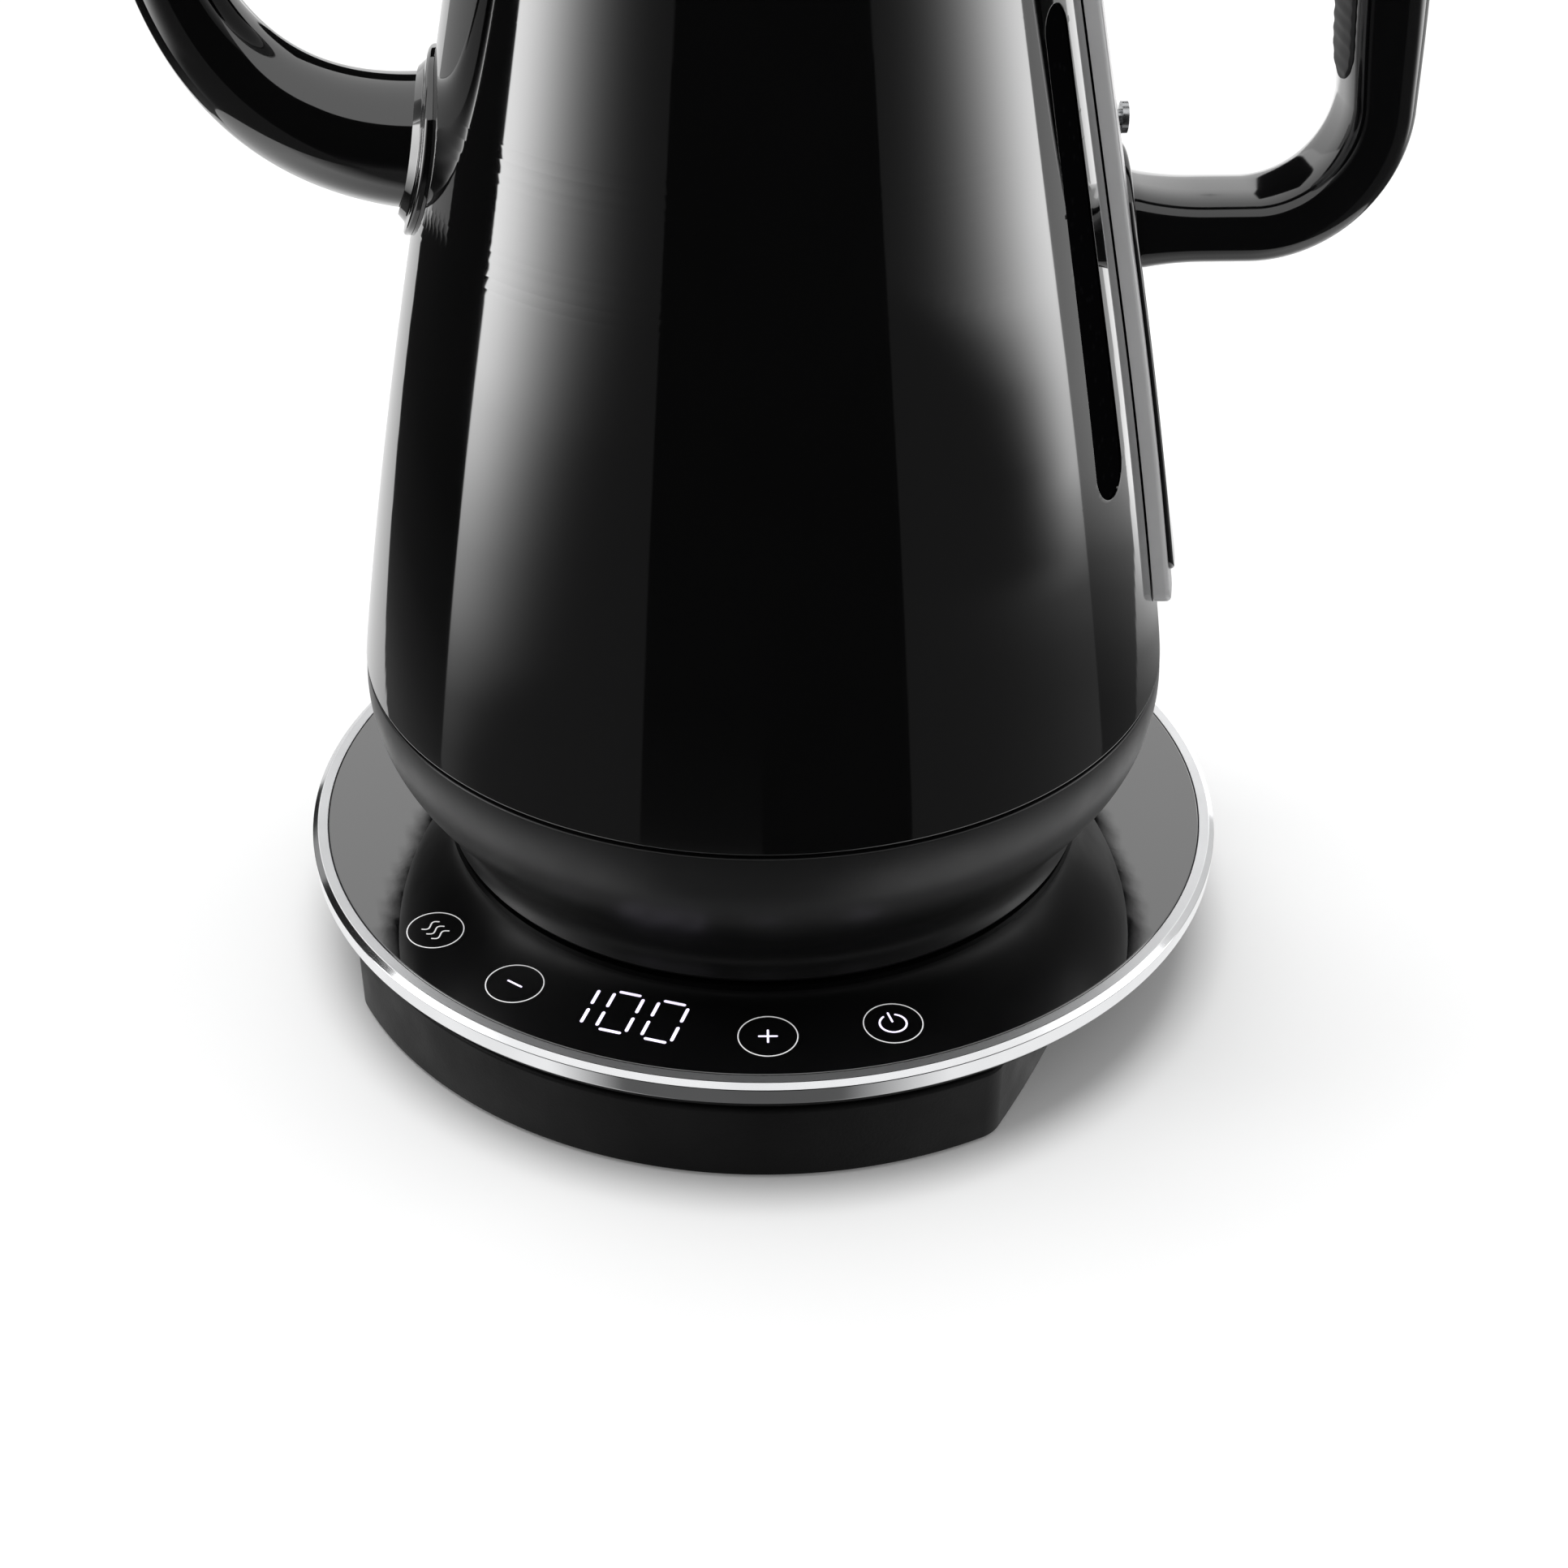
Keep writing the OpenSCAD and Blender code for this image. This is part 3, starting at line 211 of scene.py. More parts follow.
class KettleLidSizes(bpy.types.PropertyGroup):
    """Sizes of the rim collar and the lid."""

    hole_radius: length("Hole radius", "Radius of the opening in the collar", 44.5)
    collar_height: length("Collar height", "Height of the collar above the body", 6)
    lid_low: length("Lid underside", "Height of the lid's lower edge", cad_low("lid_cap"))
    lid_top: length("Lid top", "Height of the middle of the lid", cad_top("lid_cap"))
    lid_radius: length("Lid radius", "Radius of the lid", cad_radius("lid_cap"))
    lid_edge: length("Lid edge", "Height of the lid's upright edge", 1.4)
    vent_radius: length("Vent radius", "Radius of a steam vent", 1.5)
    vent_circle: length("Vent circle", "Radius on which the vents lie", 30)
    knob_radius: length("Knob radius", "Radius of the knob", 13)
    knob_top: length("Knob top", "Height of the knob's top", cad_top("lid_knob"))
    stem_radius: length("Stem radius", "Radius of the knob's stem", 5.5)
    stem_height: length("Stem height", "Height of the knob's stem", 6)


class KettleFinish(bpy.types.PropertyGroup):
    """Colours of the finishes."""

    body: tint("Body", "Gloss black of body, spout and lid", 0.0008, 0.0008, 0.0009)
    bowl: tint("Bowl", "Satin plastic of the lower bowl", 0.008, 0.008, 0.0085)
    plinth: tint("Plinth", "Moulded plastic of the base", 0.0085, 0.0085, 0.0087)
    glass: tint("Glass", "Black glass of the control panel", 0.0022, 0.0022, 0.0024)
    trim: tint("Trim", "Polished trim round the glass", 0.86, 0.865, 0.875)
    lit: tint("Lit marks", "Light of the digits and the lit keys", 0.86, 0.8, 1.0)
    # the print's finish adds a faint painted glow, so the print stays light in the kettle's shade
    print: tint("Printed marks with painted glow", "Unlit print on the glass", 0.92, 0.92, 0.93)
    rail: tint("Rail", "Satin plastic of the handle's rail", 0.42, 0.42, 0.425)
    grip: tint("Soft grip", "Rubber pad inside the grip", 0.022, 0.022, 0.023)


class KettleStudio(bpy.types.PropertyGroup):
    """Camera and stage."""

    camera_side: reach("Camera side", "Camera place across", -12.4)
    camera_back: reach("Camera back", "Camera place towards the front", -419.4)
    camera_height: length("Camera height", "Camera height above the table", 317.9)
    camera_down: angle("Camera pitch", "How far the camera looks down", 34.7)
    camera_turn: angle("Camera turn", "Turn of the camera to the kettle's axis", -1.7)
    lens: share("Lens", "Focal length in millimetres on a 36 mm sensor", 53.06, 200.0)
    shift: share("Shift", "Sideways shift of the lens, as a share of the frame", 0.013)
    floor_white: share("Floor", "How pale the floor is", 0.93)
    world_light: share("World light", "Light from the surroundings on matt surfaces", 0.5, 2.0)
    key_light: share("Key light", "Strength of the broad lamp overhead", 2.1, 10.0)
    key_spread: angle("Key spread", "Angle across which the broad lamp shines", 40)
    key_lean: angle("Key lean", "Lean of the broad lamp from upright", 8)
    key_side: angle("Key side", "Side from which the broad lamp leans, round from the right", 115)
    left_strip: share("Left strip", "Radiance of the left strip light at its edge", 5.0, 30.0)
    right_strip: share("Right strip", "Radiance of the right strip light at its edge", 3.9, 30.0)
    tent_radius: length("Tent radius", "Distance of the strip lights from the axis", 500)
    tent_height: length("Tent height", "Height of the strip lights' upper edge", 880)


FINISHES = {}  # filled by the finishes step
GROUPS = {
    "kettle_base": KettleBaseSizes,
    "kettle_body": KettleBodySizes,
    "kettle_handle": KettleHandleSizes,
    "kettle_lid": KettleLidSizes,
    "kettle_finish": KettleFinish,
    "kettle_studio": KettleStudio,
}


def measures(context, group):
    """A group's sizes in millimetres and angles in degrees; the rest stays as it is."""
    source = getattr(context.scene, group)
    found = {}
    for prop in source.bl_rna.properties:
        if prop.identifier in {"rna_type", "name"}:
            continue
        value = getattr(source, prop.identifier)
        if prop.unit == "LENGTH":
            value /= MM
        elif prop.unit == "ROTATION":
            value = math.degrees(value)
        found[prop.identifier] = value
    return SimpleNamespace(**found)


# ---------- finishes ----------


class Surface:
    """Node tree of one finish while it is put together."""

    def __init__(self, name):
        self.material = bpy.data.materials.new(name)
        self.material.use_nodes = True
        self.nodes = self.material.node_tree.nodes
        self.links = self.material.node_tree.links
        self.nodes.clear()
        self.out = self.add("ShaderNodeOutputMaterial")
        self.place = self.add("ShaderNodeTexCoord").outputs["Object"]

    def add(self, kind, **settings):
        """A node with its own settings and, by socket name, its constants."""
        node = self.nodes.new(kind)
        for key, value in settings.items():
            if hasattr(node, key):
                setattr(node, key, value)
            else:
                node.inputs[key.replace("_", " ")].default_value = value
        return node

    def noise(self, scale, detail=2.0, stretch=(1, 1, 1), rough=0.5, place=None):
        """Noise with that many features to the metre, drawn out along the axes."""
        mapping = self.add("ShaderNodeMapping")
        mapping.inputs["Scale"].default_value = stretch
        self.links.new(place or self.place, mapping.inputs["Vector"])
        node = self.add("ShaderNodeTexNoise", Scale=scale, Detail=detail, Roughness=rough)
        self.links.new(mapping.outputs["Vector"], node.inputs["Vector"])
        return node.outputs["Fac"]

    def rings(self):
        """Distance from the common axis, as a place for turned marks."""
        split = self.add("ShaderNodeSeparateXYZ")
        self.links.new(self.place, split.inputs["Vector"])
        flat = self.add("ShaderNodeCombineXYZ")
        self.links.new(split.outputs["X"], flat.inputs["X"])
        self.links.new(split.outputs["Y"], flat.inputs["Y"])
        size = self.add("ShaderNodeVectorMath", operation="LENGTH")
        self.links.new(flat.outputs["Vector"], size.inputs[0])
        both = self.add("ShaderNodeCombineXYZ")
        self.links.new(size.outputs["Value"], both.inputs["X"])
        self.links.new(split.outputs["Z"], both.inputs["Z"])
        return both.outputs["Vector"]

    def spread(self, value, low, high, at_low=0.3, at_high=0.7):
        """A noise's middle range stretched between two values."""
        node = self.add("ShaderNodeMapRange")
        for socket, number in zip(("From Min", "From Max", "To Min", "To Max"),
                                  (at_low, at_high, low, high)):
            node.inputs[socket].default_value = number
        self.links.new(value, node.inputs["Value"])
        return node.outputs["Result"]

    def blend(self, share_of, one, other):
        """Mix of two colours by a value."""
        node = self.add("ShaderNodeMix", data_type="RGBA")
        for socket, colour in ((node.inputs[6], one), (node.inputs[7], other)):
            if isinstance(colour, bpy.types.NodeSocket):
                self.links.new(colour, socket)
            else:
                socket.default_value = (*colour, 1.0)
        self.links.new(share_of, node.inputs[0])
        return node.outputs[2]

    def bump(self, height, depth, strength=1.0, under=None):
        """Relief of that depth in metres."""
        node = self.add("ShaderNodeBump", Strength=strength, Distance=depth)
        self.links.new(height, node.inputs["Height"])
        if under:
            self.links.new(under, node.inputs["Normal"])
        return node.outputs["Normal"]

    def shade(self, colour, rough, normal=None, **sockets):
        """Ends the tree in a principled shader; links the varying values, sets the rest."""
        node = self.add("ShaderNodeBsdfPrincipled")
        for key, value in {"Base Color": colour, "Roughness": rough, "Normal": normal,
                           **{k.replace("_", " "): v for k, v in sockets.items()}}.items():
            if value is None:
                continue
            if isinstance(value, bpy.types.NodeSocket):
                self.links.new(value, node.inputs[key])
            elif key in {"Base Color", "Emission Color", "Specular Tint", "Coat Tint"}:
                node.inputs[key].default_value = (*value, 1.0)
            else:
                node.inputs[key].default_value = value
        self.links.new(node.outputs["BSDF"], self.out.inputs["Surface"])
        return self.material


def times(colour, factor):
    """A colour made lighter or darker."""
    return tuple(min(c * factor, 1.0) for c in colour)


def moulded(name, colour, rough, grain=1400, depth=3e-5, mottle=45, patch=0.22, **sockets):
    """Moulded plastic or rubber: a fine eroded grain and slow changes of tone and shine."""
    s = Surface(name)
    slow = s.noise(mottle, 4.0)
    fine = s.noise(grain, 3.0, rough=0.6)
    tone = s.blend(s.spread(slow, 0, 1), times(colour, 1 - patch), times(colour, 1 + patch))
    shine = s.spread(s.noise(mottle * 2.3, 5.0), rough - 0.05, rough + 0.06)
    return s.shade(tone, shine, s.bump(fine, depth, 0.7), **sockets)


def gloss(name, colour, rough, streak=(1, 1, 0.02), **sockets):
    """Lacquer: nearly even, with faint upright drawing marks and a trace of orange peel."""
    s = Surface(name)
    drawn = s.noise(900, 3.0, streak)
    haze = s.noise(38, 4.0)
    tone = s.blend(s.spread(haze, 0, 1), times(colour, 0.8), times(colour, 1.3))
    shine = s.spread(haze, rough * 0.75, rough * 1.35)
    peel = s.bump(s.noise(260, 1.0), 1.2e-6, 1.0)
    return s.shade(tone, shine, s.bump(drawn, 1.0e-6, 1.0, peel), **sockets)


def metal(name, colour, rough, grain=1600, stretch=(1, 1, 1), depth=6e-6, patch=0.1,
          turned=False, **sockets):
    """Bare metal: brushed along an axis or turned in rings, with uneven shine."""
    s = Surface(name)
    place = s.rings() if turned else None
    marks = s.noise(grain, 3.0, stretch, 0.6, place)
    slow = s.noise(55, 4.0)
    tone = s.blend(s.spread(slow, 0, 1), times(colour, 1 - patch), times(colour, 1 + patch))
    shine = s.spread(s.noise(grain * 0.6, 2.0, stretch, 0.5, place), rough * 0.8, rough * 1.25)
    return s.shade(tone, shine, s.bump(marks, depth, 0.6), Metallic=1.0, **sockets)


def polished_band(name, colour):
    """Polished metal with fine turned marks; the flat next to the glass is satin."""
    s = Surface(name)
    place = s.rings()
    split = s.add("ShaderNodeSeparateXYZ")
    s.links.new(place, split.inputs["Vector"])
    satin, mirror, flat_end = 0.42, 0.11, 0.097
    shine = s.spread(split.outputs["X"], satin, mirror, flat_end, flat_end + 0.0002)
    tone = s.blend(s.spread(s.noise(55, 4.0), 0, 1), times(colour, 0.95), times(colour, 1.04))
    marks = s.noise(700, 3.0, (1, 1, 9), 0.6, place)
    return s.shade(tone, shine, s.bump(marks, 7e-7, 0.6), Metallic=1.0)


def circuit_board(name, mask, copper):
    """Solder mask with a maze of tracks under it."""
    s = Surface(name)
    cells = s.add("ShaderNodeTexVoronoi", Scale=260.0, distance="CHEBYCHEV",
                  feature="DISTANCE_TO_EDGE")
    s.links.new(s.place, cells.inputs["Vector"])
    track = s.spread(cells.outputs["Distance"], 1, 0, 0.04, 0.09)
    slow = s.noise(70, 3.0)
    base = s.blend(s.spread(slow, 0, 1), times(mask, 0.75), times(mask, 1.25))
    return s.shade(s.blend(track, base, copper), s.spread(slow, 0.3, 0.42),
                   s.bump(track, 3e-5, 0.6))


def black_window(name, colour):
    """Smoked window: black and smooth, with faint drops of condensation behind."""
    s = Surface(name)
    drops = s.add("ShaderNodeTexVoronoi", Scale=420.0)
    s.links.new(s.place, drops.inputs["Vector"])
    spots = s.spread(drops.outputs["Distance"], 1, 0, 0.05, 0.3)
    tone = s.blend(spots, colour, times(colour, 2.2))
    return s.shade(tone, s.spread(s.noise(50, 3.0), 0.4, 0.5), s.bump(s.noise(240, 1.0), 1e-6),
                   Specular_IOR_Level=0.0)


def glowing(name, colour, strength):
    """Light that comes through a diffuser with a slightly uneven grain."""
    s = Surface(name)
    tone = s.blend(s.spread(s.noise(2600, 2.0), 0, 1), times(colour, 0.93), colour)
    return s.shade(tone, 0.5, Emission_Color=tone, Emission_Strength=strength)


def build_finishes(colours):
    """Every finish by its slot, and the two for marks on the glass."""
    body = tuple(colours.body)
    plinth = tuple(colours.plinth)
    return {
        "plinth_plastic": moulded("Plinth plastic", plinth, 0.47, 1500, 4.5e-5,
                                  Specular_IOR_Level=0.12),
        "rubber": moulded("Black rubber", (0.018, 0.018, 0.018), 0.72, 2200, 3e-5),
        "steel_screws": metal("Screw steel", (0.55, 0.56, 0.57), 0.26, 2400),
        "board": circuit_board("Board", (0.012, 0.1, 0.045), (0.09, 0.24, 0.08)),
        "board_parts": moulded("Board parts", (0.06, 0.06, 0.065), 0.4, 900, 2e-5, 90, 0.5),
        "display": moulded("Display module", (0.62, 0.6, 0.68), 0.35, 1800, 1e-5),
        "copper": metal("Key copper", (0.78, 0.36, 0.2), 0.3, 1900),
        "black_glass": gloss("Panel glass", tuple(colours.glass), 0.025, (1, 1, 1),
                             IOR=1.95, Coat_Weight=1.0, Coat_Roughness=0.01, Coat_IOR=1.6),
        "polished_trim": polished_band("Polished trim", tuple(colours.trim)),
        "contact_brass": metal("Contact brass", (0.72, 0.5, 0.2), 0.24, 1800, turned=True),
        "connector_plastic": moulded("Connector plastic", (0.016, 0.016, 0.017), 0.4, 1600, 2e-5),
        "bowl_plastic": moulded("Bowl plastic", tuple(colours.bowl), 0.36, 1700, 1.6e-5, 30, 0.12),
        "ceramic_white": moulded("Control ceramic", (0.7, 0.67, 0.6), 0.5, 1200, 3e-5),
        "plate_steel": metal("Plate steel", (0.6, 0.6, 0.59), 0.25, 1500, (1, 1, 1), 5e-6, 0.12,
                             True),
        "element_steel": metal("Element steel", (0.36, 0.34, 0.33), 0.38, 900, patch=0.3),
        "aluminium": metal("Cast aluminium", (0.66, 0.67, 0.68), 0.42, 1100, depth=2e-5),
        "silicone": moulded("Silicone", (0.55, 0.52, 0.47), 0.5, 1300, 1e-5,
                            Subsurface_Weight=0.15, Subsurface_Scale=0.002),
        "dark_silicone": moulded("Dark silicone", (0.035, 0.035, 0.037), 0.55, 1500, 2e-5),
        "gloss_black": gloss("Gloss lacquer", body, 0.055, IOR=1.6, Coat_Weight=1.0,
                             Coat_Roughness=0.02, Coat_IOR=1.6),
        "window_dark": black_window("Smoked window", (0.0016, 0.0016, 0.0018)),
        "gloss_handle": gloss("Handle lacquer", times(body, 2.5), 0.1, (1, 1, 1), IOR=1.55,
                              Coat_Weight=0.7, Coat_Roughness=0.06, Coat_IOR=1.5),
        "rail_plastic": moulded("Rail plastic", tuple(colours.rail), 0.34, 2000, 1e-5, 30, 0.06,
                                Coat_Weight=0.4, Coat_Roughness=0.25),
        "soft_grip": moulded("Soft grip", tuple(colours.grip), 0.62, 1500, 5e-5),
        "collar_plastic": moulded("Collar plastic", (0.01, 0.01, 0.0105), 0.3, 1700, 1e-5),
        "lit_marks": glowing("Lit marks", tuple(colours.lit), 1.0),
        # print with a faint painted glow: its emission keeps the rings and the steam sign light
        # where the kettle shades the glass
        "printed_marks_painted_glow": moulded("Printed marks with painted glow", tuple(colours.print), 0.45, 2600, 4e-6, 300,
                                 0.06, Emission_Color=(1, 1, 1), Emission_Strength=0.25),
    }


# ---------- mesh code ----------


def rounded(corners, closed=True, steps=6):
    """Outline in a section, from corners given as (across, up, radius of the round)."""
    out = []
    count = len(corners)
    for i, (x, y, radius) in enumerate(corners):
        if radius <= 0 or (not closed and i in (0, count - 1)):
            out.append((x, y))
            continue
        here = Vector((x, y))
        back = Vector(corners[i - 1][:2]) - here
        on = Vector(corners[(i + 1) % count][:2]) - here
        half = back.angle(on) / 2
        cut = min(radius / math.tan(half), 0.49 * back.length, 0.49 * on.length)
        centre = here + (back.normalized() + on.normalized()).normalized() * cut / math.cos(half)
        first, last = here + back.normalized() * cut - centre, here + on.normalized() * cut - centre
        a = math.atan2(first.y, first.x)
        sweep = (math.atan2(last.y, last.x) - a + math.pi) % (2 * math.pi) - math.pi
        reach_of = first.length
        for k in range(steps + 1):
            b = a + sweep * k / steps
            out.append((centre.x + reach_of * math.cos(b), centre.y + reach_of * math.sin(b)))
    return out


def ring(radius, z, count=240):
    """Points round the common axis."""
    turns = (2 * math.pi * k / count for k in range(count))
    return [(radius * math.cos(a), radius * math.sin(a), z) for a in turns]


def open_ring(radius, z, gaps, columns):
    """Points round the axis from gap to gap; a gap is (middle in degrees, half its width in mm)."""
    points = []
    for i, (middle, half) in enumerate(gaps):
        after, half_after = gaps[(i + 1) % len(gaps)]
        if i == len(gaps) - 1:
            after += 360
        start = middle + math.degrees(math.asin(half / radius))
        end = after - math.degrees(math.asin(half_after / radius))
        for k in range(columns[i] + 1):
            a = math.radians(start + (end - start) * k / columns[i])
            points.append((radius * math.cos(a), radius * math.sin(a), z))
    return points


def hole_stations(circle, hole, steps):
    """Distances from the axis across a round hole, each with the hole's half width there."""
    found = []
    for k in range(steps + 1):
        r = circle + hole * math.sin(math.pi * (k / steps - 0.5))
        c = (r * r + circle * circle - hole * hole) / (2 * r * circle)
        found.append((r, r * math.sqrt(max(1 - c * c, 0.0)) if 0 < k < steps else 0.0))
    return found


def both_sides(stations):
    """Loop from (place, half width) pairs: along one side and back along the other."""
    return stations + [(place, -half) for place, half in stations[-2:0:-1]]


def bezier(p, t):
    """Point of a Bezier curve with four control points."""
    w = ((1 - t) ** 3, 3 * t * (1 - t) ** 2, 3 * t * t * (1 - t), t**3)
    return tuple(sum(a * q[i] for a, q in zip(w, p)) for i in range(len(p[0])))


def turned_about(points, degrees):
    """Points turned about the common axis."""
    c, s = math.cos(math.radians(degrees)), math.sin(math.radians(degrees))
    return [(c * x - s * y, s * x + c * y, z) for x, y, z in points]


class Skin:
    """Points and faces of a piece as it grows, in millimetres."""

    def __init__(self):
        self.points = []
        self.faces = []

    def strip(self, rows, loop=False):
        """Quads between rows of equally many points; loop closes each row."""
        start, count = len(self.points), len(rows[0])
        for row in rows:
            self.points.extend(row)
        for j in range(len(rows) - 1):
            for k in range(count if loop else count - 1):
                a, b = start + j * count + k, start + j * count + (k + 1) % count
                self.faces.append((a, b, b + count, a + count))

    def gapped(self, rows, columns):
        """Quads between rows from open_ring, which leave the gaps open."""
        first = 0
        for number in columns:
            self.strip([row[first:first + number + 1] for row in rows])
            first += number + 1

    def lid(self, points):
        """One flat face."""
        start = len(self.points)
        self.points.extend(points)
        self.faces.append(tuple(range(start, start + len(points))))

    def ribbon(self, line, width, low, high, steps=6):
        """Flat bar with round ends along a line in the plane."""
        line = [Vector(p) for p in line]
        rows = []
        ends = [(line[0], line[1] - line[0], -1), (line[-1], line[-1] - line[-2], 1)]
        for end, (at, along, sign) in enumerate(ends):
            along = along.normalized()
            part = [(at + along * sign * width / 2 * math.cos(a), along, width / 2 * math.sin(a))
                    for a in (math.pi / 2 * k / steps for k in range(steps + 1))]
            if end == 0:
                rows += part
                for i in range(1, len(line) - 1):
                    rows.append((line[i], (line[i + 1] - line[i - 1]).normalized(), width / 2))
            else:
                rows += part[::-1]
        left = [(p.x - d.y * h, p.y + d.x * h) for p, d, h in rows]
        right = [(p.x + d.y * h, p.y - d.x * h) for p, d, h in rows]
        for a, b, z, w in ((left, right, high, high), (right, left, low, low),
                           (left, left, low, high), (right, right, high, low)):
            self.strip([[(x, y, z) for x, y in a], [(x, y, w) for x, y in b]])

    def turn(self, degrees, since=0):
        """Turns what was added since a point about the common axis."""
        self.points[since:] = turned_about(self.points[since:], degrees)

    def piece(self, name, crease=CREASE):
        """Mesh object with its points welded, smooth but for edges sharper than the crease."""
        mesh = bpy.data.meshes.new(name)
        mesh.from_pydata([(x * MM, y * MM, z * MM) for x, y, z in self.points], [], self.faces)
        work = bmesh.new()
        work.from_mesh(mesh)
        bmesh.ops.remove_doubles(work, verts=work.verts, dist=WELD)
        bmesh.ops.recalc_face_normals(work, faces=work.faces)
        work.to_mesh(mesh)
        work.free()
        mesh.shade_smooth()
        mesh.set_sharp_from_angle(angle=math.radians(crease))
        made = bpy.data.objects.new(name, mesh)
        bpy.context.scene.collection.objects.link(made)
        return made


def lathe(outline, count=240, closed=True):
    """Skin of an outline, as (radius, height) pairs, turned round the axis."""
    skin = Skin()
    rows = [ring(r, z, count) for r, z in outline]
    skin.strip(rows + rows[:1] if closed else rows, loop=True)
    return skin


def place(made, body, slot, *nodes, finish=None):
    """Gives a piece its body and its slot's or its own finish, and hides the CAD nodes that it
    stands for.
    """
    made.data.materials.append(FINISHES[finish or slot])
    made.modifiers.new("even_normals", "WEIGHTED_NORMAL").keep_sharp = True
    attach(made, body)
    if nodes:
        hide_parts(*nodes)
    return made


class Wall:
    """The body's outer face: straight above the knee, a shallow curve below it."""

    def __init__(self, s):
        self.knee_r, self.knee_z = s.knee_radius, s.knee_height
        self.slope = (s.knee_radius - s.rim_radius) / (s.rim_height - s.knee_height)
        high = s.knee_height - s.seam_height - s.seam_gap / 2
        self.bow = (s.knee_radius + self.slope * high - s.bottom_radius) / high**2

    def r(self, z):
        """Radius at a height."""
        drop = self.knee_z - z
        return self.knee_r + self.slope * drop - (self.bow * drop * drop if drop > 0 else 0)

    def at(self, u, z, out):
        """Point on the handle side: u across, z up, out from the outer face."""
        r = self.r(z) + out
        return (math.sqrt(r * r - u * u), u, z)


class Bar:
    """Outline of an upright bar that narrows upwards: round lower corners and a round top."""

    def __init__(self, half, low, high, taper, corner, inset=0.0):
        q = math.radians(taper)
        self.s, self.c = math.sin(q), math.cos(q)
        half -= inset * (math.tan(q) + 1 / self.c)
        self.r, self.foot, self.top = corner - inset, low + inset, high - inset
        self.corner = half - self.r * (1 + self.s) / self.c
        self.crown = (half * self.c - (self.top - self.foot) * self.s) / (1 - self.s)

    def at(self, z):
        """Height, half width and outward normal where the outline crosses a height."""
        z = min(max(z, self.foot), self.top)
        for centre, x, r, sign in ((self.foot + self.r, self.corner, self.r, -1),
                                   (self.top - self.crown, 0.0, self.crown, 1)):
            rise = (z - centre) / r
            if sign * (rise - self.s) > 0:
                run = math.sqrt(max(1 - rise * rise, 0.0))
                return (z, x + r * run, run, rise)
        run = (self.r - (z - self.foot - self.r) * self.s) / self.c
        return (z, self.corner + run, self.c, self.s)

    def heights(self, arc=14, run=40):
        """Heights that follow the rounds evenly and the flanks in steps."""
        low, high = self.foot + self.r, self.top - self.crown
        q = math.asin(self.s)
        turn = [math.pi / 2 * (k / arc - 1) + q * k / arc for k in range(arc + 1)]
        flank = [low + self.r * self.s, high + self.crown * self.s]
        found = [low + self.r * math.sin(a) for a in turn]
        found += [flank[0] + (flank[1] - flank[0]) * k / run for k in range(1, run)]
        found += [high + self.crown * math.sin(q + (math.pi / 2 - q) * k / arc)
                  for k in range(arc + 1)]
        return found


def pillow(bar, layers, at, columns=14, heights=None):
    """Plate in a bar's outline: layers are (inset, height) from its foot up over its edge."""
    rows = [bar.at(z) for z in heights or bar.heights()]
    foot = [(bar.foot, bar.corner * 2 * k / columns, 0.0, -1.0) for k in range(columns // 2)]
    edge = (foot if bar.corner > 0.01 else []) + rows
    skin = Skin()
    for side in (-1, 1):
        skin.strip([[at(side * (h - inset * n), z - inset * m, out) for z, h, n, m in edge]
                    for inset, out in layers])
    for inset, out in (layers[0], layers[-1]):
        skin.strip([[at((h - inset * n) * (2 * k / columns - 1), z - inset * m, out)
                     for k in range(columns + 1)] for z, h, n, m in rows])
    return skin


def edge_layers(low, top, radius, steps=6):
    """Layers for pillow: upright from low, then a quarter round up to top."""
    quarter = [math.pi / 2 * k / steps for k in range(steps + 1)]
    return [(0.0, low)] + [(radius * (1 - math.cos(a)), top - radius * (1 - math.sin(a)))
                           for a in quarter]


# ---------- operators ----------


class BuildStep(bpy.types.Operator):
    """Step of building the kettle."""

    bl_options = {"REGISTER", "UNDO"}

    def execute(self, context):
        """Builds the step's pieces; an error stops the script."""
        self.build(context)
        return {"FINISHED"}


class KETTLE_OT_finishes(BuildStep):
    """Makes the finishes and lays them on the CAD nodes"""

    bl_idname = "kettle.finishes"
    bl_label = "Finishes"

    def build(self, context):
        FINISHES.update(build_finishes(context.scene.kettle_finish))
        for part in frame["record"]["subparts"]:
            node = frame["nodes"][part["node"]]
            node.data.materials.clear()
            node.data.materials.append(FINISHES[part["material_slot"]])


